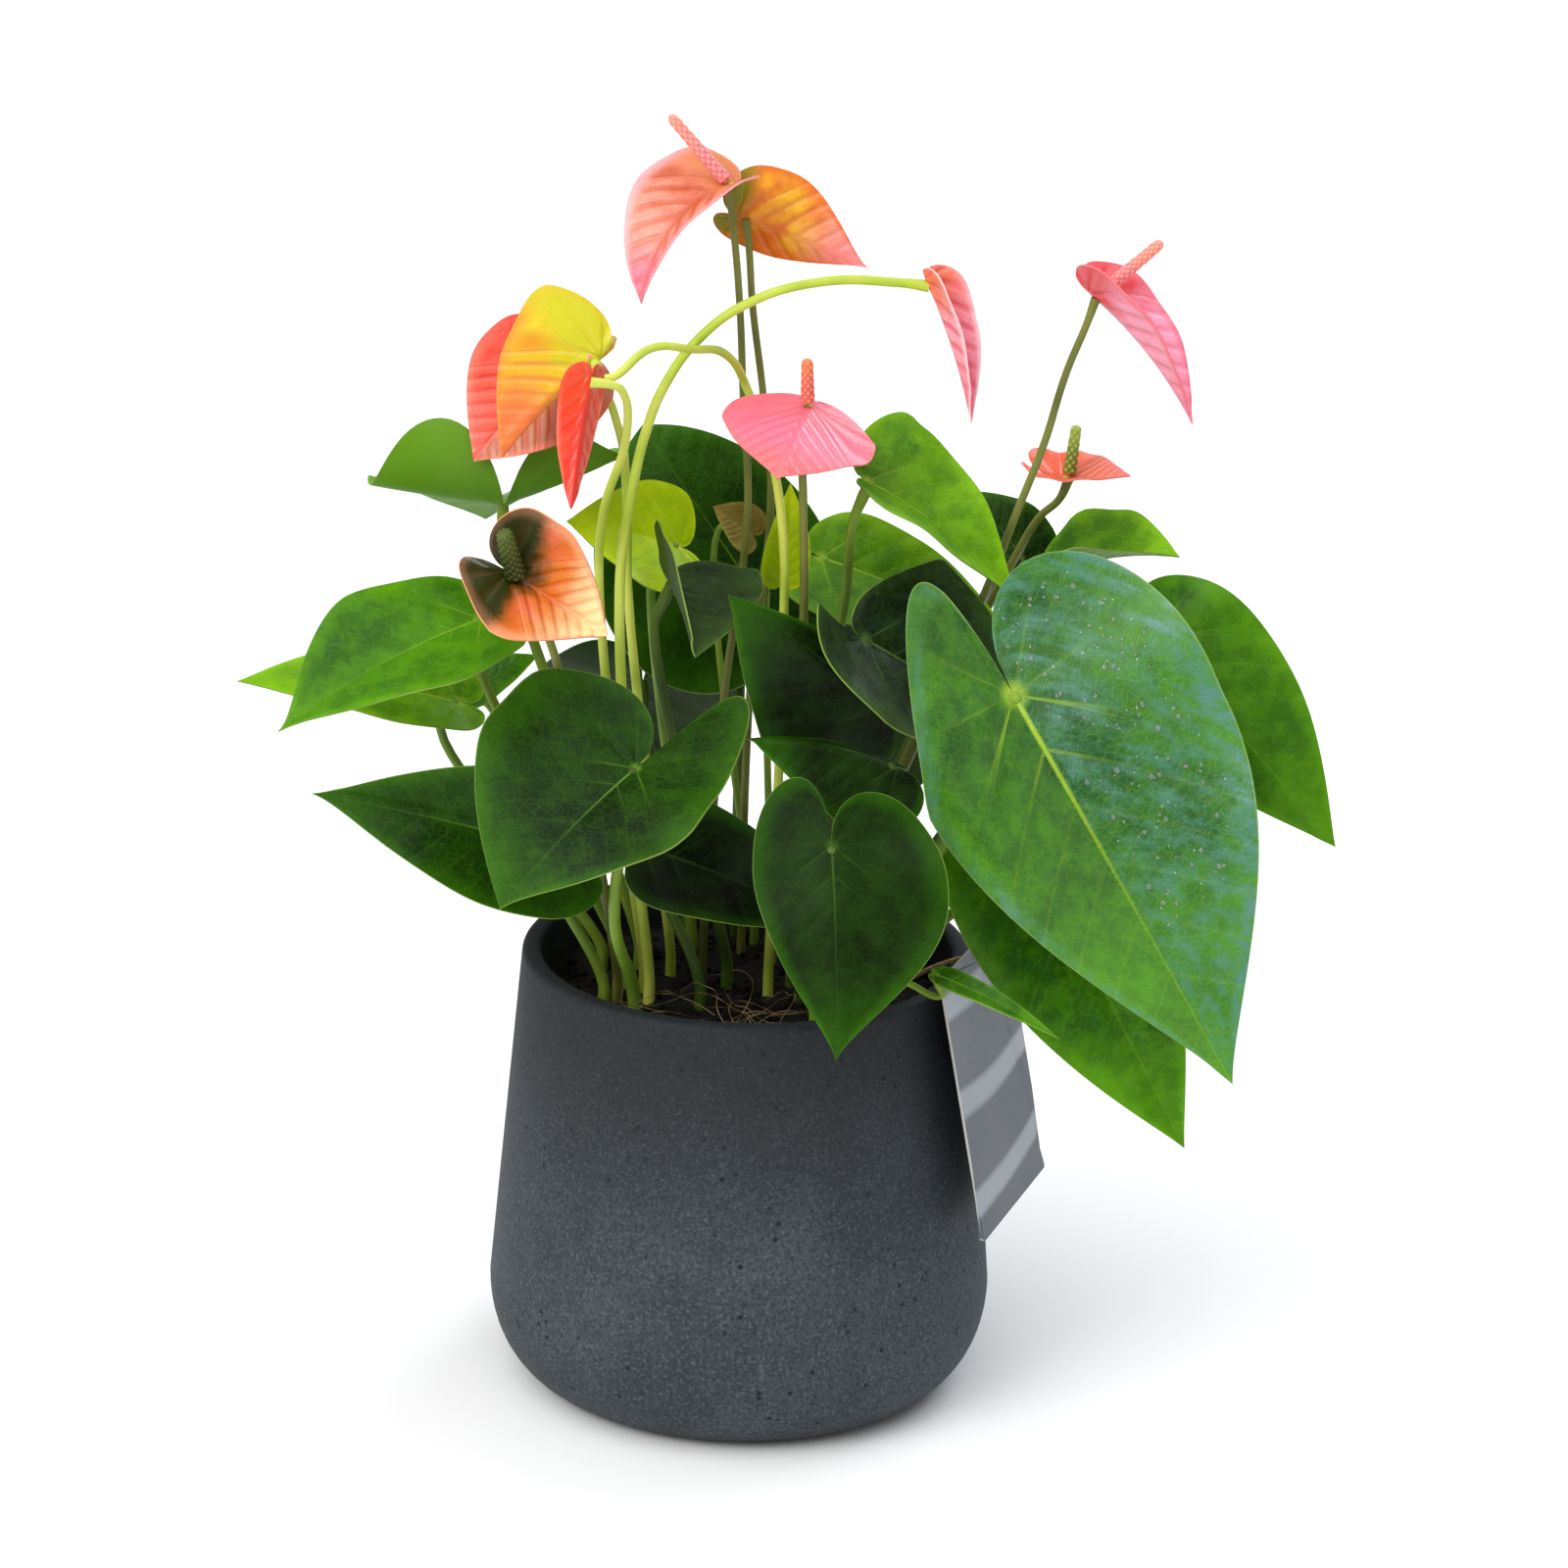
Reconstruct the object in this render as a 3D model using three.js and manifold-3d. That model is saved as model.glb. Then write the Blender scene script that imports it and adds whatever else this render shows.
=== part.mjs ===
// A flamingo flower (anthurium) growing in a tapered cement pot.
// Millimetres, +Z up. The origin is the middle of the pot's underside, and -Y is the front.
// Every leaf is one solid with its stalk. Every flower is a stem, a spathe and a spadix.

import * as THREE from 'three';
import { mergeVertices } from 'three/addons/utils/BufferGeometryUtils.js';
import Module from 'manifold-3d';

const wasm = await Module();
wasm.setup();

// Driving dimensions of the pot and what lies in it
const POT_HEIGHT = 142;
const RIM_RADIUS = 70.5;
const WIDEST_RADIUS = 80;
const WIDEST_HEIGHT = 30.5;
const FOOT_RADIUS = 59;
const WALL = 6;
const FLOOR = 9;
const LIP_ROUND = 2.4;
const POT_SIDES = 40;
const SOIL_TOP = 127;
const SOIL_CROWN = 3;

// Clearance between pieces that touch, and how deep each stem stands in the soil
const GAP = 0.3;
const ROOT_DEPTH = 9;
const STEM_SIDES = 5;
const HOLE_ROOM = 0.9;
const HOLE_SIDES = 5;

// Thickness of leaf blades and spathes, and how finely they are divided
const BLADE = 0.8;
const LOBE_STEPS = 4;
const EDGE_STEPS = 5;
const RINGS = 2;
const LEAF_STALK = 1.7;
const FLOWER_STEM = 1.5;

// The spadix: a tapered finger covered with small bumps
const SPADIX_SIDES = 8;
const SPADIX_RINGS = 9;
const SPADIX_BUMP = 0.22;

// How far inside the blade a flower's stem and spadix meet it
const INSET = 2.5;

// The card on its loop of raffia
const CARD = {
  width: 64, height: 88, thickness: 0.8, hole: 2.2, holeAt: [42, 7], corner: [60, -50, 151],
};
const CARD_LEAN = 0.19;
const CARD_TURN = [0.33, 0.944, 0];

// The raffia: a loop round a leaf's stalk, a strand over the rim, and a knot behind the card's hole
const RAFFIA = { radius: 0.55, loop: 3.6, knot: 2.7, height: 131, crest: 143.7, overRim: [66, -12.5] };

const COLOURS = {
  pot: 0x3f464c, soil: 0x1c1611, leaf: 0x2c6a1f, youngLeaf: 0x86b324, stem: 0x9dac4a,
  pink: 0xee7d8e, orange: 0xe8853c, yellow: 0xe6b63c, red: 0xdf4a30,
  spadixPink: 0xe87a80, spadixGreen: 0x6f8a2e, card: 0x4a525a, raffia: 0xc9a26a,
};

const vec = (p) => new THREE.Vector3(p[0], p[1], p[2]);
// A pair of values belongs to a blade's left and right half, and a single value to both
const pick = (value, y) => (Array.isArray(value) ? value[y >= 0 ? 0 : 1] : value);

function material(name) {
  const glossy = name === 'leaf' || name === 'youngLeaf';
  return new THREE.MeshStandardMaterial({
    color: COLOURS[name], roughness: glossy ? 0.35 : 0.7, metalness: 0, name,
  });
}

// A closed mesh becomes a solid, and a solid becomes a mesh again
function solid(geometry) {
  const plain = geometry.index ? geometry.clone() : geometry;
  plain.deleteAttribute('normal');
  plain.deleteAttribute('uv');
  const merged = mergeVertices(plain, 1e-3);
  return new wasm.Manifold(new wasm.Mesh({
    numProp: 3,
    vertProperties: new Float32Array(merged.attributes.position.array),
    triVerts: new Uint32Array(merged.index.array),
  }));
}

function geometryOf(body) {
  const mesh = body.getMesh();
  const geometry = new THREE.BufferGeometry();
  geometry.setAttribute('position', new THREE.BufferAttribute(new Float32Array(mesh.vertProperties), 3));
  geometry.setIndex(Array.from(mesh.triVerts));
  return geometry;
}

// A cut can leave a scrap behind, so the largest body is the one that is kept
function largest(body) {
  return body.decompose().reduce((a, b) => (b.volume() > a.volume() ? b : a));
}

function named(name, body, finish) {
  const mesh = new THREE.Mesh(geometryOf(body), material(finish));
  mesh.name = name;
  return mesh;
}

// A blade's frame: along from the joint to the tip, up out of its upper face, side to its left
function bladeFrame(spec) {
  const joint = vec(spec.joint);
  const along = vec(spec.tip).sub(joint);
  const chord = along.length();
  along.normalize();
  const up = vec(spec.faces);
  up.addScaledVector(along, -up.dot(along)).normalize();
  const side = new THREE.Vector3().crossVectors(up, along);
  return { joint, along, up, side, chord };
}

// Where a point of the flat blade lies once the blade is arched, folded, cupped and waved.
// x runs along the midrib from the joint, y to the left of it.
function bladePoint(spec, frame, x, y) {
  const arch = THREE.MathUtils.degToRad(spec.arch ?? 25);
  const bend = Math.max(Math.abs(arch), 0.02) * (arch < 0 ? -1 : 1);
  const length = frame.chord * (bend / 2) / Math.sin(bend / 2);
  const t = x / length;
  const fold = THREE.MathUtils.degToRad(pick(spec.fold ?? 10, y));
  const reach = Math.abs(y);
  const half = pick(spec.half, y);
  const q = reach / half;
  const cup = spec.cup ?? 0.05;
  const wave = (spec.wave ?? 0.04) * half;
  const ripple = wave * Math.sin((spec.ripples ?? 2) * Math.PI * 2 * t + (y >= 0 ? 0.6 : 2.4));
  const lean = fold * Math.min(1, 0.4 + reach / 6);
  const across = reach * Math.cos(lean) * Math.sign(y) * (1 - 0.5 * cup * cup * q * q);
  const rise = reach * Math.sin(lean) + (cup * half + ripple) * q * q;
  let run;
  let lift;
  let slope;
  if (x >= 0) {
    const radius = length / bend;
    run = radius * (Math.sin(bend / 2) - Math.sin(bend / 2 - bend * t));
    lift = radius * (Math.cos(bend / 2 - bend * t) - Math.cos(bend / 2));
    slope = bend / 2 - bend * t;
  } else {
    const raised = Math.min(1, -x / pick(spec.lobe, y));
    const back = THREE.MathUtils.degToRad(spec.lift ?? 10) * raised - bend / 2;
    run = x * Math.cos(back);
    lift = -x * Math.sin(back);
    slope = -back;
  }
  return frame.joint.clone()
    .addScaledVector(frame.along, run - rise * Math.sin(slope))
    .addScaledVector(frame.up, lift + rise * Math.cos(slope))
    .addScaledVector(frame.side, across);
}

// The thickness is laid out along the blade's own normal at each point
function bladeNormal(spec, frame, x, y) {
  const step = 0.5;
  const tx = bladePoint(spec, frame, x + step, y).sub(bladePoint(spec, frame, x - step, y));
  const ty = bladePoint(spec, frame, x, y + step).sub(bladePoint(spec, frame, x, y - step));
  return tx.cross(ty).normalize();
}

// Half of the flat heart shape: from the joint round the lobe to the widest place, then to the tip
function heartEdge(spec, length, hand) {
  const half = pick(spec.half, hand);
  const reach = pick(spec.lobe, hand);
  const widest = pick(spec.widest ?? 0.18, hand) * length;
  const point = (x, y) => new THREE.Vector2(x, y);
  const lobe = new THREE.CubicBezierCurve(
    point(0, 0), point(-1.45 * reach, 0),
    point(-1.05 * reach, half * pick(spec.gather ?? 1, hand)), point(widest, half),
  );
  const edge = new THREE.CubicBezierCurve(
    point(widest, half), point(widest + 0.45 * (length - widest), half),
    point(0.87 * length, half * pick(spec.full ?? 0.2, hand)), point(length, 0),
  );
  return [...lobe.getPoints(LOBE_STEPS), ...edge.getPoints(EDGE_STEPS).slice(1)];
}

// A blade as a closed skin: both faces have the same triangles, and a wall joins them at the edge
function bladeSkin(spec, thickness) {
  const frame = bladeFrame(spec);
  const arch = Math.max(Math.abs(THREE.MathUtils.degToRad(spec.arch ?? 25)), 0.02);
  const length = frame.chord * (arch / 2) / Math.sin(arch / 2);
  const last = LOBE_STEPS + EDGE_STEPS;
  const fan = LOBE_STEPS - 1;
  const top = [];
  const bottom = [];
  const seen = new Map();
  const place = (x, y) => {
    const key = `${x.toFixed(3)},${y.toFixed(3)}`;
    if (!seen.has(key)) {
      const at = bladePoint(spec, frame, x, y);
      const normal = bladeNormal(spec, frame, x, y);
      seen.set(key, top.length);
      top.push(at.clone().addScaledVector(normal, thickness / 2));
      bottom.push(at.clone().addScaledVector(normal, -thickness / 2));
    }
    return seen.get(key);
  };
  const faces = [];
  const face = (a, b, c) => {
    if (a !== b && b !== c && c !== a) faces.push([a, b, c]);
  };
  const rims = [];
  for (const hand of [1, -1]) {
    const rows = heartEdge(spec, length, hand).map((p, i) => {
      const row = [];
      const rib = i <= fan ? 0 : length * ((i - fan) / (last - fan)) ** 0.9;
      for (let r = 0; r <= RINGS; r += 1) {
        const s = r / RINGS;
        row.push(place(rib + (p.x - rib) * s, hand * p.y * s));
      }
      return row;
    });
    for (let i = 1; i < last; i += 1) {
      for (let r = 0; r < RINGS; r += 1) {
        const [a, b, c, d] = [rows[i][r], rows[i + 1][r], rows[i + 1][r + 1], rows[i][r + 1]];
        if (hand > 0) {
          face(a, b, c);
          face(a, c, d);
        } else {
          face(a, c, b);
          face(a, d, c);
        }
      }
    }
    rims.push([...rows[1], ...rows.slice(2).map((row) => row[RINGS])]);
  }
  const loop = [...rims[1], ...rims[0].slice(1, -1).reverse()];
  const count = top.length;
  const index = [];
  faces.forEach(([a, b, c]) => index.push(a, b, c, a + count, c + count, b + count));
  loop.forEach((a, i) => {
    const b = loop[(i + 1) % loop.length];
    index.push(a, a + count, b + count, a, b + count, b);
  });
  const geometry = new THREE.BufferGeometry();
  geometry.setAttribute('position', new THREE.Float32BufferAttribute(
    [...top, ...bottom].flatMap((p) => [p.x, p.y, p.z]), 3,
  ));
  geometry.setIndex(index);
  return solid(geometry);
}

// A round stem through the points given, with flat ends
function tube(points, radius, sides, steps) {
  const path = new THREE.CatmullRomCurve3(points.map(vec), false, 'centripetal');
  const ring = new THREE.Shape();
  for (let i = 0; i < sides; i += 1) {
    const angle = (i / sides) * Math.PI * 2;
    const move = i === 0 ? 'moveTo' : 'lineTo';
    ring[move](radius * Math.cos(angle), radius * Math.sin(angle));
  }
  return solid(new THREE.ExtrudeGeometry(ring, { steps, extrudePath: path, bevelEnabled: false }));
}

// A stem's foot stands upright in the soil, and from its top the stem leans to where it goes
function rooted(foot, points, radius, steps) {
  const [x, y] = foot;
  const top = SOIL_TOP + SOIL_CROWN + 1;
  const peg = new THREE.CylinderGeometry(radius, radius, top - SOIL_TOP + ROOT_DEPTH, STEM_SIDES, 1);
  peg.rotateX(Math.PI / 2).translate(x, y, (top + SOIL_TOP - ROOT_DEPTH) / 2);
  const rest = tube([[x, y, top - 1], [x, y, top + 6], ...points], radius, STEM_SIDES, steps);
  return solid(peg).add(rest);
}

// A leaf: its stalk climbs to the notch of the blade and ends in a small knob on the upper face
function leaf(spec) {
  const frame = bladeFrame(spec);
  const knob = bladeNormal(spec, frame, 1, 0);
  const radius = spec.stalk ?? LEAF_STALK;
  const joint = bladePoint(spec, frame, 1, 0);
  const end = joint.clone().addScaledVector(knob, BLADE / 2 + 0.5);
  const arrive = spec.arrive ? vec(spec.arrive).normalize() : knob;
  const foot = new THREE.Vector3(spec.foot[0], spec.foot[1], SOIL_TOP);
  const under = end.clone().addScaledVector(arrive, -Math.min(14, 0.25 * end.distanceTo(foot)));
  const path = [...(spec.via ?? []), under.toArray(), end.toArray()];
  const stalk = rooted(spec.foot, path, radius, 7);
  return named(spec.name, bladeSkin(spec, BLADE).add(stalk), spec.young ? 'youngLeaf' : 'leaf');
}

// A spadix tapers a little to a round end, and its bumps alternate from ring to ring
function spadixBody(start, end, radius) {
  const axis = end.clone().sub(start);
  const length = axis.length();
  const turn = new THREE.Quaternion().setFromUnitVectors(new THREE.Vector3(0, 0, 1), axis.normalize());
  const points = [new THREE.Vector3(0, 0, 0)];
  for (let j = 0; j < SPADIX_RINGS; j += 1) {
    const t = j / (SPADIX_RINGS - 1);
    const width = radius * (1 - 0.22 * t) * Math.sqrt(1 - Math.max(0, (t - 0.86) / 0.145) ** 2 * 0.72);
    for (let i = 0; i < SPADIX_SIDES; i += 1) {
      const angle = (i / SPADIX_SIDES) * Math.PI * 2;
      const bump = (i + j) % 2 ? SPADIX_BUMP : -SPADIX_BUMP;
      points.push(new THREE.Vector3(
        (width + bump) * Math.cos(angle), (width + bump) * Math.sin(angle), length * t * 0.985,
      ));
    }
  }
  points.push(new THREE.Vector3(0, 0, length));
  const index = [];
  const at = (j, i) => 1 + j * SPADIX_SIDES + (i % SPADIX_SIDES);
  for (let i = 0; i < SPADIX_SIDES; i += 1) {
    index.push(0, at(0, i + 1), at(0, i));
    for (let j = 0; j < SPADIX_RINGS - 1; j += 1) {
      index.push(at(j, i), at(j, i + 1), at(j + 1, i + 1), at(j, i), at(j + 1, i + 1), at(j + 1, i));
    }
    index.push(points.length - 1, at(SPADIX_RINGS - 1, i), at(SPADIX_RINGS - 1, i + 1));
  }
  const geometry = new THREE.BufferGeometry();
  const placed = points.flatMap((p) => p.applyQuaternion(turn).add(start).toArray());
  geometry.setAttribute('position', new THREE.Float32BufferAttribute(placed, 3));
  geometry.setIndex(index);
  return solid(geometry);
}

// A flower: the stem ends under the spathe, and the spadix stands on its upper face.
// Both are cut back by a thicker copy of the spathe, which leaves the clearance all round.
function flower(spec) {
  const frame = bladeFrame(spec);
  const normal = bladeNormal(spec, frame, INSET, 0);
  const joint = bladePoint(spec, frame, INSET, 0);
  const room = bladeSkin(spec, BLADE + 2 * GAP);
  const radius = spec.stem ?? FLOWER_STEM;
  const arrive = spec.arrive ? vec(spec.arrive).normalize() : normal;
  const under = joint.clone().addScaledVector(arrive, -8);
  const path = [...spec.via, under.toArray(), joint.toArray()];
  const stem = largest(rooted(spec.foot, path, radius, 11).subtract(room));
  const spathe = bladeSkin(spec, BLADE);
  const sleeve = tube([under.toArray(), joint.toArray()], radius + 2 * GAP, STEM_SIDES, 1);
  const pieces = [
    named(`${spec.name}_stem`, stem, 'stem'),
    named(`${spec.name}_spathe`, spathe, spec.finish),
  ];
  if (spec.spadix) {
    const out = vec(spec.spadix).sub(joint).normalize();
    const start = joint.clone().addScaledVector(normal, 0.8).addScaledVector(out, 0.6);
    const finger = spadixBody(start, vec(spec.spadix), spec.finger);
    const cut = largest(finger.subtract(room).subtract(sleeve));
    pieces.push(named(`${spec.name}_spadix`, cut, spec.spadixFinish));
  }
  return pieces;
}

// Leaves, front right first and round to the left, then the crown and the back.
// joint and tip are the two ends of the midrib, and faces is where the upper side looks.
const LEAVES = [
  { name: 'leaf_front_right', joint: [78, -58, 246], tip: [146, -98, 139], faces: [0.05, -0.97, 0.25],
    half: [55, 50], lobe: [38, 48], widest: [0.22, 0.12], full: [0.15, 0.1], gather: [1.2, 0.4],
    fold: [-6, -38], cup: 0.08, arch: 18, lift: 5, foot: [38, -18], stalk: 2.2 },
  { name: 'leaf_low_right', joint: [85, -18, 190], tip: [136, -60, 102], faces: [-0.1, -0.95, 0.3],
    half: 32, lobe: 18, foot: [34, -34] },
  { name: 'leaf_right', joint: [122, 0, 247], tip: [181, -20, 187], faces: [0.1, -0.9, 0.4],
    half: [28, 24], lobe: [15, 20], fold: [5, -35], foot: [42, 0] },
  { name: 'leaf_right_flat', joint: [95, 30, 259], tip: [131, 14, 269], faces: [0, 0, 1],
    half: 25, lobe: 9, fold: [26, 18], foot: [40, 20] },
  { name: 'leaf_crown', joint: [33, -5, 296], tip: [80, -20, 263], faces: [0, 0, 1],
    half: [23, 26], lobe: [11, 3], widest: [0.08, 0.3], full: 0.05, gather: [1.4, 0.8],
    fold: [44, 10], foot: [18, 4], via: [[24, 12, 225], [28, 13, 255]] },
  { name: 'leaf_back_small', joint: [84, 52, 256], tip: [66, 62, 275], faces: [0, -0.6, 0.8],
    half: 14, lobe: 8, foot: [26, 36] },
  { name: 'leaf_back_bright', joint: [20, 40, 258], tip: [82, 26, 236], faces: [0, -0.7, 0.7],
    half: [18, 22], lobe: [8, 14], foot: [10, 32] },
  { name: 'leaf_winged', joint: [34, -20, 250], tip: [86, 8, 204], faces: [-0.2, -0.6, 0.7],
    half: [35, 26], lobe: [12, 32], gather: [0.3, 0.6], lift: 30, foot: [17, -19],
    via: [[20, -13, 190], [25, -11, 222]] },
  { name: 'leaf_centre_curled', joint: [-26, -5, 262], tip: [-17, -42, 250], faces: [0.2, -0.5, 0.8],
    half: [27, 20], lobe: [12, 16], fold: [8, 72], foot: [-6, -4] },
  { name: 'leaf_young_left', joint: [-24, 24, 265], tip: [-59, 15, 275], faces: [0, -0.7, 0.7],
    half: [21, 19], lobe: [9, 5], foot: [-18, 24], young: true },
  { name: 'leaf_back_tall', joint: [-1, 60, 241], tip: [-38, 75, 290], faces: [0.1, -0.95, 0.2],
    half: [46, 30], lobe: 26, full: 0.5, foot: [-4, 44] },
  { name: 'leaf_butterfly', joint: [-78, 4, 283], tip: [-88, 78, 257], faces: [0, 0.3, 0.95],
    half: [40, 42], lobe: [33, 26], gather: [1.3, 1], fold: [4, 20], lift: 70, foot: [-34, 12],
    stalk: 1.8 },
  { name: 'leaf_left', joint: [-83, -22, 254], tip: [-141, -60, 229], faces: [-0.2, -0.5, 0.83],
    half: [28, 26], lobe: [9, 10], widest: [0.2, 0.4], full: 0.05, foot: [-38, -6] },
  { name: 'leaf_left_behind', joint: [-91, 6, 218], tip: [-159, -6, 227], faces: [0, -0.5, 0.85],
    half: 17, lobe: 9, foot: [-46, 8] },
  { name: 'leaf_left_small', joint: [-90, 27, 214], tip: [-68, 32, 226], faces: [0, -0.6, 0.8],
    half: 8, lobe: 4, foot: [-42, 22], stalk: 1.2 },
  { name: 'leaf_low_left', joint: [-57, -40, 186], tip: [-132, -52, 207], faces: [-0.1, -0.8, 0.6],
    half: [24, 24], lobe: [17, 20], full: 0.05, fold: [4, 46], foot: [-44, -24] },
  { name: 'leaf_front_left', joint: [-34, -62, 221], tip: [-72, -102, 190], faces: [-0.2, -0.75, 0.6],
    half: [32, 43], lobe: [44, 22], full: [0.05, 0.25], gather: [0.6, 1.1], foot: [-34, -36], stalk: 2,
    via: [[-40, -50, 168]] },
  { name: 'leaf_front', joint: [25, -70, 201], tip: [28, -98, 143], faces: [0.15, -0.9, 0.3],
    half: [36, 24], lobe: [19, 23], widest: [0.25, 0.1], full: 0.05, fold: -8, foot: [22, -52],
    stalk: 2 },
  { name: 'leaf_front_low', joint: [-32, -28, 184], tip: [27, -38, 163], faces: [0, -0.7, 0.7],
    half: 20, lobe: 4, foot: [-14, -24] },
  { name: 'leaf_inner_right', joint: [40, -18, 227], tip: [-8, -35, 268], faces: [0, -0.8, 0.6],
    half: [34, 9], lobe: [16, 6], fold: [-30, 10], foot: [24, -6] },
  { name: 'leaf_inner_edge', joint: [44, -42, 217], tip: [-1, -52, 228], faces: [0, 0.3, 0.9],
    half: [24, 8], lobe: [12, 6], fold: [-75, 10], foot: [22, -28] },
  { name: 'leaf_strap', joint: [57, -62, 158], tip: [95, -80, 145], faces: [0, -0.6, 0.8],
    half: 4, lobe: 1.5, via: [[44, -48, 150]], foot: [34, -46], stalk: 1.2, young: true },
  { name: 'leaf_bud_brown', joint: [-2, 34, 267], tip: [-14, 29, 277], faces: [0, -0.8, 0.6],
    half: 8, lobe: 4, foot: [2, 35], stalk: 1.2, young: true },
  { name: 'leaf_bud_olive', joint: [8, 6, 260], tip: [10, 8, 291], faces: [0.3, -0.9, 0.3],
    half: 8, lobe: 3, foot: [8, 14], stalk: 1.2, young: true },
  { name: 'leaf_rear_right', joint: [36, 68, 222], tip: [44, 92, 150], faces: [0.1, 0.95, 0.3],
    half: 37, lobe: 22, foot: [14, 44] },
  { name: 'leaf_rear_left', joint: [-36, 64, 208], tip: [-40, 100, 142], faces: [-0.1, 0.9, 0.4],
    half: 33, lobe: 20, foot: [-20, 42] },
];

// Flowers, top left first and round to the right. via is where each stem passes on its way up.
const FLOWERS = [
  { name: 'flower_top', joint: [-9, 0, 386], tip: [-36, -20, 353], faces: [-0.6, -0.4, 0.7],
    half: [14, 21], lobe: 6, fold: [14, 24], arch: 75, finish: 'pink', foot: [-14, 6],
    via: [[-9, 12, 220], [-3, 6, 283], [-5, 4, 317], [-7, 2, 351]], stem: 1.3,
    spadix: [-29, 0, 406], spadixFinish: 'spadixPink', finger: 2.1 },
  { name: 'flower_orange', joint: [-8, 8, 374], tip: [32, 4, 360], faces: [0.1, 0.95, 0.1],
    half: [10, 18], lobe: 8, widest: [0.2, 0.22], fold: 15, arch: 12, full: 0, finish: 'orange',
    foot: [-2, 26], via: [[-1, 24, 220], [4, 14, 287], [1, 12, 317], [-3, 9, 347]], stem: 1.3,
    arrive: [-0.15, 0.25, 1],
    spadix: [-5, 17, 385], spadixFinish: 'spadixGreen', finger: 1.9 },
  { name: 'flower_hanging', joint: [49, -12, 361], tip: [64, -20, 319], faces: [0.8, -0.5, 0.4],
    half: 10, lobe: 4, fold: [55, 55], arch: 16, finish: 'pink', foot: [-30, -20],
    via: [[-41, -20, 264], [-38, -20, 293], [-34, -20, 313], [-28, -20, 329], [-18, -19, 343],
      [-5, -18, 353], [17, -16, 360]], stem: 1.7, arrive: [1, 0, -0.1],
    spadix: [58, -16, 344], spadixFinish: 'spadixPink', finger: 1.2 },
  { name: 'flower_centre', joint: [15, -15, 322], tip: [6, -52, 309], faces: [0, -0.4, 0.9], half: 25,
    lobe: 8, fold: [-26, -10], arch: 30, finish: 'pink', foot: [14, -4],
    via: [[15, -14, 235], [15, -13, 262], [14, -10, 290]],
    spadix: [14, -18, 337], spadixFinish: 'spadixPink', finger: 2.2 },
  { name: 'flower_cup', joint: [-73, -48, 277], tip: [-43, -58, 261], faces: [-0.1, -1, 0.05],
    half: [24, 22], lobe: [12, 16], gather: [1.2, 0.5], fold: [10, 56], arch: -10, cup: 0.2,
    finish: 'orange', foot: [-40, -16],
    via: [[-56, -33, 230], [-61, -38, 252]], arrive: [-0.2, -1, 0.5],
    spadix: [-74, -60, 293], spadixFinish: 'spadixGreen', finger: 3.2 },
  { name: 'flower_yellow', joint: [-47, -34, 340], tip: [-76, -42, 311], faces: [-0.4, 0.85, 0.35],
    half: [26, 29], lobe: [10, 8], widest: [0.06, 0.18], fold: [40, 55], arch: 20,
    finish: 'yellow', foot: [7, -15],
    via: [[9, -14, 250], [8, -11, 280], [4, -4, 302], [-3, -2, 321], [-10, -13, 336], [-21, -30, 342],
      [-32, -38, 344]],
    spadix: [-58, -28, 346], spadixFinish: 'spadixPink', finger: 1.8 },
  { name: 'flower_red', joint: [-61, 1, 328], tip: [-86, -13, 301], faces: [-0.3, -0.9, 0.3], half: 23,
    lobe: 10, fold: [8, 8], arch: 30, finish: 'red', foot: [-24, 4],
    via: [[-39, -2, 257], [-40, 0, 287], [-43, 2, 309], [-50, 1, 323]], arrive: [-0.8, -0.5, 0.3],
    spadix: [-66, -8, 341], spadixFinish: 'spadixPink', finger: 1.8 },
  { name: 'flower_bud', joint: [-49, -58, 341], tip: [-54, -70, 303], faces: [-0.15, 0.9, 0.3], half: 10,
    lobe: 4, fold: [50, 50], arch: 16, finish: 'red', foot: [-32, -9],
    via: [[-47, -15, 256], [-46, -28, 290], [-39, -42, 318], [-40, -54, 335]],
    arrive: [-0.9, -0.3, 0.2], spadix: [-51, -58, 322], spadixFinish: 'spadixPink', finger: 1.3 },
  { name: 'flower_right', joint: [99, 5, 354], tip: [131, -10, 318], faces: [0.75, -0.15, 0.65], half: 16,
    lobe: 9, fold: [38, 38], arch: 24, finish: 'pink', foot: [26, 12],
    via: [[58, 16, 222], [72, 9, 260], [80, 6, 285], [87, 5, 306], [93, 5, 329]], stem: 1.4,
    arrive: [0.3, 0, 1], spadix: [120, 2, 371], spadixFinish: 'spadixPink', finger: 2.2 },
  { name: 'flower_small', joint: [94, 26, 290], tip: [115, 20, 293], faces: [0, -0.1, 1], half: 13,
    lobe: 14, fold: [15, 15], lift: 25, arch: -10, finish: 'orange', foot: [28, 26],
    via: [[60, 40, 218], [71, 41, 238], [81, 38, 260], [88, 33, 275]],
    arrive: [0.35, -0.3, 1], spadix: [98, 26, 307], spadixFinish: 'spadixGreen', finger: 2.1 },
];

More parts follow.
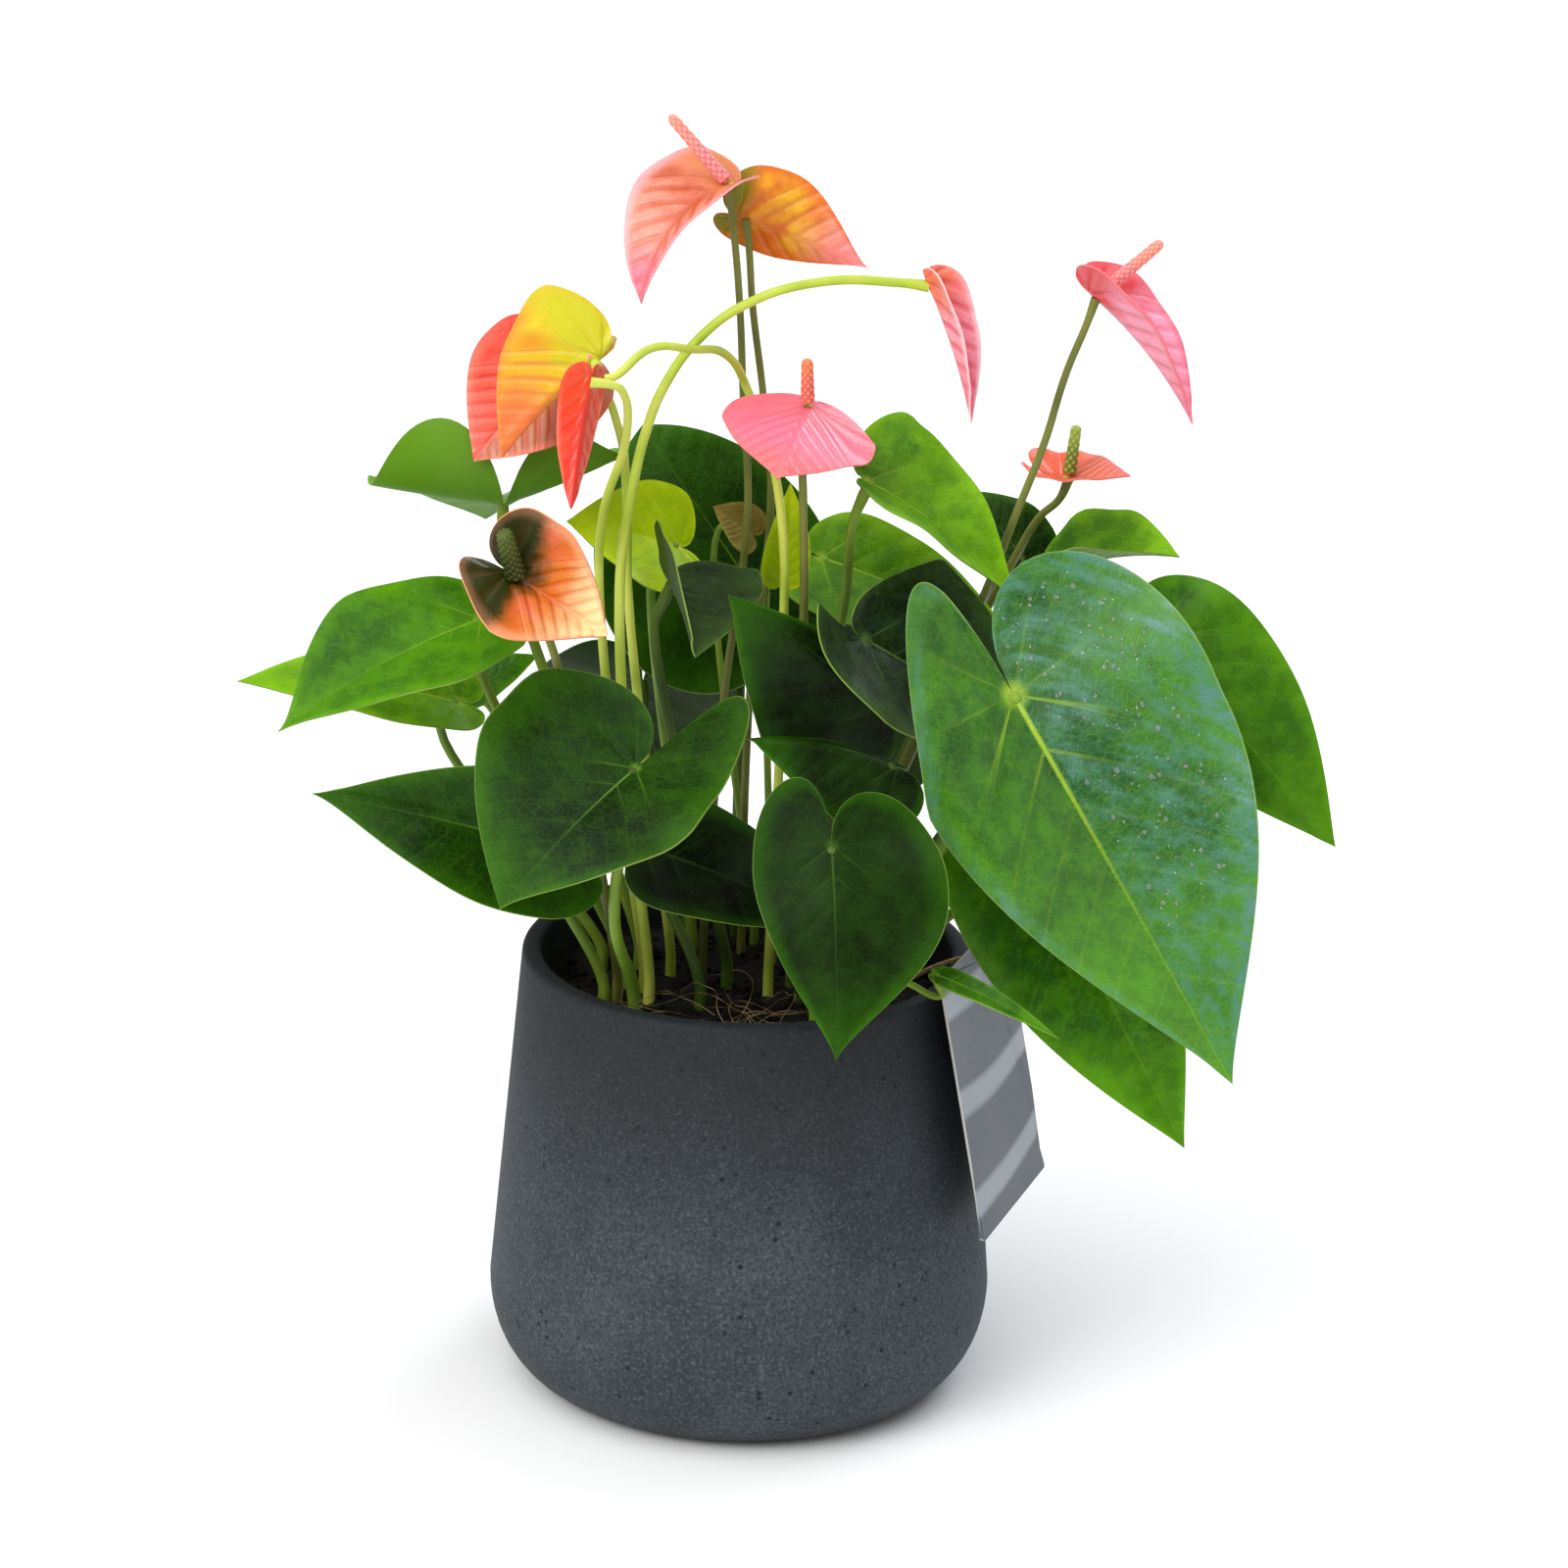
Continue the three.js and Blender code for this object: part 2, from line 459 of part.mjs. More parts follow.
// The pot is turned about its own axis: a flat foot, a rounded corner, a straight taper and a soft lip
function pot() {
  const outer = (z) => WIDEST_RADIUS + (RIM_RADIUS - WIDEST_RADIUS)
    * (z - WIDEST_HEIGHT) / (POT_HEIGHT - WIDEST_HEIGHT);
  const profile = new THREE.Path();
  profile.moveTo(0, 0);
  profile.lineTo(FOOT_RADIUS, 0);
  profile.bezierCurveTo(
    FOOT_RADIUS + 12, 0, WIDEST_RADIUS, WIDEST_HEIGHT * 0.45, WIDEST_RADIUS, WIDEST_HEIGHT,
  );
  profile.lineTo(outer(POT_HEIGHT - LIP_ROUND), POT_HEIGHT - LIP_ROUND);
  profile.quadraticCurveTo(RIM_RADIUS, POT_HEIGHT, RIM_RADIUS - LIP_ROUND, POT_HEIGHT);
  profile.lineTo(RIM_RADIUS - WALL + LIP_ROUND, POT_HEIGHT);
  profile.quadraticCurveTo(RIM_RADIUS - WALL, POT_HEIGHT, RIM_RADIUS - WALL, POT_HEIGHT - LIP_ROUND);
  profile.lineTo(WIDEST_RADIUS - WALL, WIDEST_HEIGHT);
  profile.quadraticCurveTo(WIDEST_RADIUS - WALL, FLOOR, FOOT_RADIUS, FLOOR);
  profile.lineTo(0, FLOOR);
  return new THREE.LatheGeometry(profile.getPoints(3), POT_SIDES).rotateX(Math.PI / 2);
}

// The soil fills the pot to just under the rim, with a low crown and an upright hole for each stem
function soil(feet) {
  const inner = (z) => WIDEST_RADIUS - WALL + (RIM_RADIUS - WIDEST_RADIUS)
    * (z - WIDEST_HEIGHT) / (POT_HEIGHT - LIP_ROUND - WIDEST_HEIGHT);
  const profile = new THREE.Path();
  profile.moveTo(0, FLOOR + GAP);
  profile.lineTo(FOOT_RADIUS - 3, FLOOR + GAP);
  profile.lineTo(inner(WIDEST_HEIGHT) - 1.5, WIDEST_HEIGHT);
  profile.lineTo(inner(SOIL_TOP) - 0.6, SOIL_TOP);
  profile.quadraticCurveTo(0.5 * inner(SOIL_TOP), SOIL_TOP + SOIL_CROWN, 0, SOIL_TOP + SOIL_CROWN);
  let body = solid(new THREE.LatheGeometry(profile.getPoints(3), POT_SIDES).rotateX(Math.PI / 2));
  feet.forEach(([x, y, radius]) => {
    const hole = new THREE.CylinderGeometry(radius, radius, 40, HOLE_SIDES, 1);
    hole.rotateX(Math.PI / 2).translate(x, y, SOIL_TOP - ROOT_DEPTH - GAP + 20);
    body = body.subtract(solid(hole));
  });
  return named('soil', body, 'soil');
}

// The card hangs by the pot's right side, its long edge following the wall
function card() {
  const down = new THREE.Vector3(CARD_LEAN, 0, -1).normalize();
  const across = vec(CARD_TURN).normalize();
  const out = new THREE.Vector3().crossVectors(across, down).normalize();
  const outline = new THREE.Shape();
  outline.moveTo(0, 0);
  outline.lineTo(CARD.width, 0);
  outline.lineTo(CARD.width, CARD.height);
  outline.lineTo(0, CARD.height);
  const eye = new THREE.Path();
  eye.absarc(CARD.holeAt[0], CARD.holeAt[1], CARD.hole, 0, Math.PI * 2);
  outline.holes.push(eye);
  const sheet = new THREE.ExtrudeGeometry(outline, {
    depth: CARD.thickness, bevelEnabled: false, curveSegments: 5,
  });
  const place = new THREE.Matrix4().makeBasis(across, down, out).setPosition(vec(CARD.corner));
  return { body: solid(sheet.applyMatrix4(place)), place };
}

// The strand runs from the loop over the rim and through the card's hole to its knot
function raffia(foot, place) {
  const hole = (depth) => new THREE.Vector3(CARD.holeAt[0], CARD.holeAt[1], depth).applyMatrix4(place);
  const middle = new THREE.Vector3(foot[0], foot[1], RAFFIA.height);
  const crest = new THREE.Vector3(RAFFIA.overRim[0], RAFFIA.overRim[1], RAFFIA.crest);
  const toRim = crest.clone().sub(middle).setZ(0).normalize();
  const start = middle.clone().addScaledVector(toRim, RAFFIA.loop);
  const end = hole(-RAFFIA.knot - GAP);
  const strand = tube([start, crest, hole(CARD.thickness + 2), hole(0), end].map((p) => p.toArray()),
    RAFFIA.radius, STEM_SIDES, 8);
  const loop = new THREE.TorusGeometry(RAFFIA.loop, RAFFIA.radius, STEM_SIDES, 10);
  loop.translate(middle.x, middle.y, middle.z);
  const knot = new THREE.IcosahedronGeometry(RAFFIA.knot, 1).translate(end.x, end.y, end.z);
  return wasm.Manifold.union([strand, solid(loop), solid(knot)]);
}

const plant = new THREE.Group();
LEAVES.forEach((spec) => plant.add(leaf(spec)));
FLOWERS.forEach((spec) => plant.add(...flower(spec)));

const feet = [
  ...LEAVES.map((spec) => [...spec.foot, spec.stalk ?? LEAF_STALK]),
  ...FLOWERS.map((spec) => [...spec.foot, spec.stem ?? FLOWER_STEM]),
].map(([x, y, radius]) => [x, y, radius + HOLE_ROOM]);
plant.add(soil(feet));
plant.add(named('pot', solid(pot()), 'pot'));
const { body: cardBody, place: cardPlace } = card();
plant.add(named('card', cardBody, 'card'));
const tied = LEAVES.find((spec) => spec.name === 'leaf_front_right');
plant.add(named('raffia', raffia(tied.foot, cardPlace), 'raffia'));

export default plant;
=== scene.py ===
import random
from math import atan2, copysign, cos, exp, hypot, pi, radians, sin, sqrt, tau
import bpy
import bmesh
from mathutils import Matrix, Vector, noise


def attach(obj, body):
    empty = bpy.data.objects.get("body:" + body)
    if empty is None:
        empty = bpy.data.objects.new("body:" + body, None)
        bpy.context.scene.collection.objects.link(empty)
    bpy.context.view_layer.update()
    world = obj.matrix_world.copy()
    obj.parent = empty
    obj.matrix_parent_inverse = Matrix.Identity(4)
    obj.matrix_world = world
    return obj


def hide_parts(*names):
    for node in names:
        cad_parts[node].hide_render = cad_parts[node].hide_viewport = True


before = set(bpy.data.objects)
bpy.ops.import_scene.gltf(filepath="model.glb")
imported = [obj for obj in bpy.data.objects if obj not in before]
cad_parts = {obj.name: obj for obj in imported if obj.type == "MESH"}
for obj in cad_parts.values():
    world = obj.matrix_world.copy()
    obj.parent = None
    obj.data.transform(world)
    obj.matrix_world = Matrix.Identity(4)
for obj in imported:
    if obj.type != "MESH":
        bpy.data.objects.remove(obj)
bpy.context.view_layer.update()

# Helpers for all the sections: shader nodes and sums on their sockets, patterns over the plant,
# materials, and the last steps of a piece. The plant's own lengths are in millimetres, through MM.
MM = 0.001


def put_in(name, data):
    made = bpy.data.objects.new(name, data)
    bpy.context.scene.collection.objects.link(made)
    return made


def node(tree, kind, settings=(), **sockets):
    """Adds a shader node, sets its options, and fills or links the sockets named."""
    made = tree.nodes.new("ShaderNode" + kind)
    for name, value in dict(settings).items():
        setattr(made, name, value)
    for name, value in sockets.items():
        socket = made.inputs[int(name[1:])] if name[1:].isdigit() else made.inputs[name.replace("_", " ")]
        if isinstance(value, bpy.types.NodeSocket):
            tree.links.new(value, socket)
        else:
            socket.default_value = value
    return made


def maths(operation, first, second=0.5, clamp=False):
    """A sum on a socket; like all the sums below, it goes into the node tree that the socket is in."""
    return node(first.id_data, "Math", {"operation": operation, "use_clamp": clamp},
                i0=first, i1=second).outputs[0]


def times(first, second):
    return maths("MULTIPLY", first, second)


def plus(first, second, clamp=False):
    return maths("ADD", first, second, clamp)


def minus(first, second):
    return maths("SUBTRACT", first, second)


def fade(value, start, end, low=0.0, high=1.0):
    """Turns value from start to end into a smooth step from low to high."""
    return node(value.id_data, "MapRange", {"interpolation_type": "SMOOTHSTEP"}, Value=value,
                From_Min=start, From_Max=end, To_Min=low, To_Max=high).outputs[0]


def linear(red, green, blue):
    """A colour given as it looks on a screen, 0 to 255, for a shader."""
    return tuple(((c / 255 + 0.055) / 1.055) ** 2.4 if c > 10 else c / 3294
                 for c in (red, green, blue)) + (1,)


def mix(amount, first, second):
    """Goes from one colour to another by a mask. Three numbers are a colour as it looks on a screen."""
    first, second = (linear(*c) if isinstance(c, tuple) and len(c) == 3 else c for c in (first, second))
    return node(amount.id_data, "Mix", {"data_type": "RGBA"}, i0=amount, i6=first, i7=second).outputs[2]


def mottling(place, scale, detail=2, roughness=0.5):
    """A cloudy pattern from 0 to 1, with about this many patches to a metre."""
    return node(place.id_data, "TexNoise", Vector=place, Scale=scale, Detail=detail,
                Roughness=roughness).outputs[0]


def cells(place, scale, feature="F1"):
    """Cells, this many to a metre: how far from their middles, or from their edges, and a colour for each."""
    return node(place.id_data, "TexVoronoi", {"feature": feature}, Vector=place, Scale=scale).outputs


def stretched(place, scale):
    return node(place.id_data, "Mapping", Vector=place, Scale=scale).outputs[0]


def new_material(name, **fixed):
    """A material, its shader with the sockets that are the same all over, and the place on the plant."""
    made = bpy.data.materials.new(name)
    made.use_nodes = True
    shader = made.node_tree.nodes["Principled BSDF"]
    for socket, value in fixed.items():
        shader.inputs[socket.replace("_", " ")].default_value = value
    return made, shader, node(made.node_tree, "TexCoord").outputs["Object"]


def bumps(relief, strength, depth):
    return node(relief.id_data, "Bump", Strength=strength, Distance=depth, Height=relief).outputs[0]


def dress(shader, **looks):
    """Gives a shader the looks that change over the surface."""
    for socket, value in looks.items():
        shader.id_data.links.new(value, shader.inputs[socket.replace("_", " ")])


def settle(name, data, slot, nodes):
    """Every piece rides on the plant's one body, and stands for the solids that are named with it."""
    piece = put_in(name, data)
    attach(piece, "root")
    if nodes:
        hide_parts(*nodes)


def finish_piece(name, bm, materials, slot, *nodes, smooth=True):
    """Closes a piece of mesh work; its object sits at the origin."""
    mesh = bpy.data.meshes.new(name)
    if smooth:
        for face in bm.faces:
            face.smooth = True
    bm.to_mesh(mesh)
    bm.free()
    for material in materials:
        mesh.materials.append(material)
    settle(name, mesh, slot, nodes)


# Camera: it stands 1.6 m away, looks down 19 degrees on the plant and is tilted a little sideways.
# The picture is 1600 pixels wide, and its focal length is 5240 of them.
camera_distance, picture_pixels, focal_pixels = 1.6, 1600, 5240
looked_at = Vector((0.0104, 0, 0.196))
pitch, roll = radians(19), radians(1.5)
forward = Vector((0, cos(pitch), -sin(pitch)))
level_right = Vector((1, 0, 0))
level_up = level_right.cross(forward)
right = level_right * cos(roll) + level_up * sin(roll)
up = level_up * cos(roll) - level_right * sin(roll)
camera = put_in("camera", bpy.data.cameras.new("camera"))
camera.matrix_world = Matrix.Translation(looked_at - forward * camera_distance) @ Matrix(
    (right, up, -forward)).transposed().to_4x4()
camera.data.sensor_width = 36
camera.data.lens = camera.data.sensor_width * focal_pixels / picture_pixels
camera.data.clip_start = 0.05
bpy.context.scene.camera = camera

# Studio: a white floor before a pale backdrop, a soft window at the upper left, a cool one high at the
# back right, a small dim one near the viewer that the wet leaf mirrors, and a wide white ceiling.
def soft_window(name, place, aim, size, watts, tint):
    lamp = bpy.data.lights.new(name, "AREA")
    lamp.shape = "RECTANGLE"
    lamp.size, lamp.size_y = size
    lamp.energy = watts
    lamp.color = tint
    holder = put_in(name, lamp)
    holder.location = place
    holder.rotation_euler = (Vector(aim) - Vector(place)).to_track_quat("-Z", "Y").to_euler()


soft_window("window_left", (-1.5, -1.5, 1.6), (0, 0, 0.2), (1.2, 1.2), 26, (1, 0.99, 0.97))
soft_window("window_back", (1.3, 1.3, 1.6), (0, 0, 0.25), (1.6, 1.0), 26, (0.88, 0.94, 1))
soft_window("window_low", (0.6, -2.3, 0.75), (0.05, 0, 0.2), (0.4, 0.9), 1.8, (0.88, 0.95, 1))
ceiling = put_in("ceiling", bpy.data.lights.new("ceiling", "SUN"))
ceiling.data.angle = radians(80)
ceiling.data.energy = 2.45
ceiling.rotation_euler = Vector((0.25, 0.3, -1)).to_track_quat("-Z", "Y").to_euler()
air = bpy.data.worlds.new("air")
air.use_nodes = True
sky = air.node_tree
haze = sky.nodes["Background"]
haze.inputs["Color"].default_value = (0.97, 0.98, 1, 1)
haze.inputs["Strength"].default_value = 0.3
backdrop = node(sky, "Background", Color=(0.93, 0.94, 0.95, 1))
seen = node(sky, "MixShader", i0=node(sky, "LightPath").outputs["Is Camera Ray"],
            i1=haze.outputs[0], i2=backdrop.outputs[0])
sky.links.new(seen.outputs[0], sky.nodes["World Output"].inputs["Surface"])
bpy.context.scene.world = air
bpy.context.scene.view_settings.view_transform = "Standard"

floor_reach, floor_gap = 8, 0.0002
bm = bmesh.new()
bmesh.ops.create_grid(bm, x_segments=2, y_segments=2, size=floor_reach)
bmesh.ops.translate(bm, verts=bm.verts, vec=(0, 0, -floor_gap))
floor_mesh = bpy.data.meshes.new("floor")
bm.to_mesh(floor_mesh)
bm.free()
floor = put_in("floor", floor_mesh)
white = bpy.data.materials.new("floor white")
white.use_nodes = True
paint = white.node_tree.nodes["Principled BSDF"]
paint.inputs["Base Color"].default_value = (0.92, 0.92, 0.92, 1)
paint.inputs["Roughness"].default_value = 0.8
floor.data.materials.append(white)

# Pot: fibre cement pressed in a mould, round and widest low down, with a soft lip and a flat foot.
# Its skin is matt and blue grey, clouded by lime, grained, and pocked with small air holes.
rim_radius, widest_radius, foot_radius, pot_height, widest_height = 70.5, 80, 59, 142, 30.5
wall, floor_thickness, lip = 6, 9, 2.4


def turned(bm, profile, steps):
    """Spins a profile of (radius, height) points, in millimetres, round the pot's axis."""
    points = [bm.verts.new((radius * MM, 0, height * MM)) for radius, height in profile]
    edges = [bm.edges.new(pair) for pair in zip(points, points[1:])]
    bmesh.ops.spin(bm, geom=points + edges, axis=(0, 0, 1), cent=(0, 0, 0), angle=tau,
                   steps=steps, use_merge=True)
    bmesh.ops.remove_doubles(bm, verts=bm.verts, dist=0.01 * MM)
    bmesh.ops.recalc_face_normals(bm, faces=bm.faces)


def bezier(points, count):
    """Points along a quadratic or cubic curve through its handles."""
    spots = []
    for step in range(count + 1):
        t = step / count
        row = [Vector(p) for p in points]
        while len(row) > 1:
            row = [a.lerp(b, t) for a, b in zip(row, row[1:])]
        spots.append(tuple(row[0]))
    return spots


lip_outside = rim_radius + (widest_radius - rim_radius) * lip / (pot_height - widest_height)
outside = [(0, 0), (foot_radius - 1.2, 0)] + bezier(
    [(foot_radius, 0), (foot_radius + 12, 0), (widest_radius, widest_height * 0.45),
     (widest_radius, widest_height)], 14)
rise = [(widest_radius + (lip_outside - widest_radius) * k / 8,
         widest_height + (pot_height - lip - widest_height) * k / 8) for k in range(1, 8)]
upper = bezier([(lip_outside, pot_height - lip), (rim_radius, pot_height), (rim_radius - lip, pot_height)], 6)
inner = bezier([(rim_radius - wall + lip, pot_height), (rim_radius - wall, pot_height),
                (rim_radius - wall, pot_height - lip)], 6)
inside = [(widest_radius - wall, widest_height)] + bezier(
    [(widest_radius - wall, widest_height), (widest_radius - wall, floor_thickness),
     (foot_radius, floor_thickness)], 8)[1:] + [(0, floor_thickness)]
bm = bmesh.new()
turned(bm, outside + rise + upper + inner + inside, 112)

cement, shader, place = new_material("pot cement", Specular_IOR_Level=0.28)
clouds = mottling(place, 22, 6, 0.62)
grain = mottling(place, 900, 3, 0.7)
streaks = mottling(stretched(place, (3, 3, 0.35)), 26, 4)
rare = fade(mottling(place, 70, 1), 0.5, 0.6)
pit = times(fade(plus(cells(place, 210)["Distance"], times(grain, 0.12)), 0.27, 0.17), rare)
fleck = times(fade(cells(place, 420)["Distance"], 0.17, 0.08), fade(grain, 0.5, 0.6))
height = node(shader.id_data, "SeparateXYZ", Vector=place).outputs[2]
tone = mix(fade(clouds, 0.3, 0.72), (46, 52, 57), (66, 73, 80))
tone = mix(times(fade(streaks, 0.5, 0.8), 0.08), tone, (112, 118, 120))
tone = mix(times(fade(grain, 0.48, 0.64), 0.65), tone, (30, 34, 38))
tone = mix(times(fade(grain, 0.46, 0.32), 0.5), tone, (106, 112, 118))
tone = mix(times(fleck, 0.7), tone, (128, 134, 136))
# Painted shade: the cement is darkened towards the rim, for the shade the leaves cast there.
tone = mix(fade(height, 0.05, 0.14, 0, 0.8), tone, (24, 26, 28))
# Painted shade: the small air holes are painted dark, for the shade inside them.
tone = mix(pit, tone, (22, 24, 27))
relief = minus(plus(times(grain, 0.35), times(clouds, 0.8)), times(pit, 1.6))
dress(shader, Base_Color=tone, Roughness=fade(clouds, 0.2, 0.8, 0.62, 0.78),
      Normal=bumps(relief, 0.5, 0.0005))
finish_piece("cement_pot", bm, [cement], "pot", "pot")

# Soil: moist peat potting mix pressed round the root ball and filled to just under the rim.
# The top is crumbly, with loose crumbs, and pale dry roots and moss threads at the front.
soil_top, soil_crown = 127, 3


def inner_radius(height):
    return widest_radius - wall + (rim_radius - widest_radius) * (height - widest_height) / (
        pot_height - lip - widest_height)


def soil_height(x, y):
    """The height of the loose top in millimetres: a low crown, dips and clods."""
    share = min(1, hypot(x, y) / inner_radius(soil_top))
    lumps = noise.noise((x / 14, y / 14, 3)) * 2.2 + noise.noise((x / 4.5, y / 4.5, 8)) * 1.3
    return soil_top + soil_crown * (1 - share ** 2) + lumps * (1 - share ** 6 * 0.6)


soil_rings = 44
bm = bmesh.new()
under = [(0, floor_thickness + 0.3), (foot_radius - 3, floor_thickness + 0.3),
         (inner_radius(widest_height) - 1.5, widest_height), (inner_radius(soil_top) - 0.6, soil_top - 3)]
shoulder = inner_radius(soil_top) - 0.4
turned(bm, under + [(shoulder * (1 - k / soil_rings), soil_top) for k in range(soil_rings + 1)], 96)
for vert in bm.verts:
    if vert.co.z > (soil_top - 1) * MM:
        vert.co.z = soil_height(vert.co.x / MM, vert.co.y / MM) * MM

peat, shader, place = new_material("potting soil", Specular_IOR_Level=0.2)
crumbs = mottling(place, 260, 6, 0.7)
damp = mottling(place, 35)
clods = cells(place, 330)
tone = mix(fade(crumbs, 0.35, 0.7), (8, 7, 6), (28, 22, 17))
tone = mix(times(clods["Color"], 0.35), tone, (38, 30, 23))
tone = mix(fade(damp, 0.45, 0.65, 0, 0.6), tone, (24, 19, 16))
dress(shader, Base_Color=tone, Roughness=fade(damp, 0.4, 0.7, 0.95, 0.7),
      Normal=bumps(plus(crumbs, times(clods["Distance"], -0.8)), 0.9, 0.0012))
finish_piece("potting_soil", bm, [peat], "soil", "soil")

seed = 41
chance = random.Random(seed)
noise.seed_set(seed)
crumb_count, crumb_spread = 420, 60
bm = bmesh.new()
for _ in range(crumb_count):
    angle, reach = chance.uniform(0, tau), crumb_spread * chance.random() ** 0.5
    x, y, size = reach * cos(angle), reach * sin(angle), chance.uniform(0.7, 2.3)
    made = bmesh.ops.create_icosphere(bm, subdivisions=1, radius=size * MM, matrix=Matrix.Translation(
        Vector((x, y, soil_height(x, y) + size * 0.35)) * MM) @ Matrix.Rotation(
        chance.uniform(0, 3), 4, Vector((chance.uniform(-1, 1), 1, chance.uniform(-1, 1)))) @ Matrix.Diagonal(
        (1, chance.uniform(0.5, 1), chance.uniform(0.4, 0.9), 1)))
    for vert in made["verts"]:
        vert.co += noise.noise_vector(vert.co * 900) * size * 0.3 * MM
finish_piece("soil_crumbs", bm, [peat], "soil", smooth=False)


def strands(name, paths, radius, material, slot, *nodes, steps=8, sides=3):
    """Round threads or stems through points in millimetres; a fourth number is a share of the radius."""
    curve = bpy.data.curves.new(name, "CURVE")
    curve.dimensions = "3D"
    curve.bevel_depth = radius * MM
    curve.bevel_resolution = sides
    curve.resolution_u = steps
    curve.use_fill_caps = True
    for path in paths:
        spline = curve.splines.new("BEZIER")
        spline.bezier_points.add(len(path) - 1)
        for point, spot in zip(spline.bezier_points, path):
            point.co = Vector(spot[:3]) * MM
            point.radius = spot[3] if len(spot) > 3 else 1
            point.handle_left_type = point.handle_right_type = "AUTO"
    curve.materials.append(material)
    settle(name, curve, slot, nodes)


dry_root, shader, place = new_material("dry root", Specular_IOR_Level=0.2, Roughness=0.85)
fibre = mottling(place, 180, 3)
dress(shader, Base_Color=mix(fade(fibre, 0.35, 0.65), (96, 70, 44), (186, 156, 114)),
      Normal=bumps(fibre, 0.6, 0.0002))
thread_count, thread_points, thread_step, thread_spread = 38, 9, 5, 57
threads = []
for _ in range(thread_count):
    x, y = chance.uniform(-48, 34), chance.uniform(-54, -30)
    heading, lifted = chance.uniform(0, tau), 12 * chance.random() ** 1.5 + 0.5
    path = []
    for step in range(thread_points):
        above = 0.4 + lifted * sin(pi * step / (thread_points - 1))
        path.append((x, y, soil_height(x, y) + above, 1 - step * 0.07))
        heading += chance.uniform(-0.7, 0.7)
        x += thread_step * cos(heading)
        y += thread_step * sin(heading)
        if hypot(x, y) > thread_spread:
            x, y = x * 0.9, y * 0.9
            heading += 1.6
    threads.append(path)
strands("root_threads", threads, 0.15, dry_root, "soil", steps=5, sides=1)

# Leaves: each stands on its own round stalk out of the soil and spreads one heart-shaped blade,
# arched, waved and folded along the midrib. A blade is a glossy skin over paler tissue, with a
# sunken midrib, side veins that arch to the edge, a quilted skin between them, and a thin pale margin.
side_veins, vein_sweep, vein_curl = 7, 0.75, 0.55
first_vein_angle, lobe_veins = 0.927, 1.3
lobe_part, side_part, notch_part = 4, 5, 3


def side_of(value, y):
    """A pair of values belongs to a blade's left and right half, and a single value to both."""
    return value[0 if y >= 0 else 1] if isinstance(value, tuple) else value


def blade_shape(joint, tip, faces, half, lobe, widest=0.18, full=0.2, gather=1, fold=10, arch=25,
                cup=0.05, wave=0.04, ripples=2, lift=10):
    """A bent heart: its length, where a flat place of it lies, which way it faces there, its outline."""
    joint = Vector(joint)
    along = Vector(tip) - joint
    bend = copysign(max(abs(radians(arch)), 0.02), arch)
    length = along.length * (bend / 2) / sin(bend / 2)
    along.normalize()
    up_side = Vector(faces)
    up_side = (up_side - along * up_side.dot(along)).normalized()
    left = up_side.cross(along)

    def at(x, y):
        t, reach, breadth = x / length, abs(y), side_of(half, y)
        q = reach / breadth
        lean = radians(side_of(fold, y)) * min(1, 0.4 + reach / 6)
        ripple = wave * breadth * sin(ripples * tau * t + (0.6 if y >= 0 else 2.4))
        across = copysign(reach * cos(lean) * (1 - 0.5 * cup * cup * q * q), y)
        rise = reach * sin(lean) + (cup * breadth + ripple) * q * q
        if x >= 0:
            radius, slope = length / bend, bend / 2 - bend * t
            run = radius * (sin(bend / 2) - sin(slope))
            height = radius * (cos(slope) - cos(bend / 2))
        else:
            slope = bend / 2 - radians(lift) * min(1, -x / side_of(lobe, y))
            run, height = x * cos(slope), x * sin(slope)
        return joint + along * (run - rise * sin(slope)) + up_side * (
            height + rise * cos(slope)) + left * across

    def facing(x, y):
        return (at(x + 0.5, y) - at(x - 0.5, y)).cross(at(x, y + 0.5) - at(x, y - 0.5)).normalized()

    def outline(share, hand):
        """From the notch at 0 round the lobe to the tip at 1: the edge's place, and its row's start."""
        breadth, back, full_at = side_of(half, hand), side_of(lobe, hand), side_of(full, hand)
        broad = side_of(widest, hand) * length
        step = share * (lobe_part + side_part)
        if step <= lobe_part:
            handles, t = ((0, 0), (-1.45 * back, 0), (-1.05 * back, breadth * side_of(gather, hand)),
                          (broad, breadth)), step / lobe_part
        else:
            handles, t = ((broad, breadth), (broad + 0.45 * (length - broad), breadth),
                          (0.87 * length, breadth * full_at), (length, 0)), (step - lobe_part) / side_part
        weights = ((1 - t) ** 3, 3 * t * (1 - t) ** 2, 3 * t * t * (1 - t), t ** 3)
        past_notch = max(0, step - notch_part) / (lobe_part + side_part - notch_part)
        rib = length * past_notch ** 0.9
        return (sum(w * h[0] for w, h in zip(weights, handles)),
                sum(w * h[1] for w, h in zip(weights, handles)), rib)

    return length, at, facing, outline


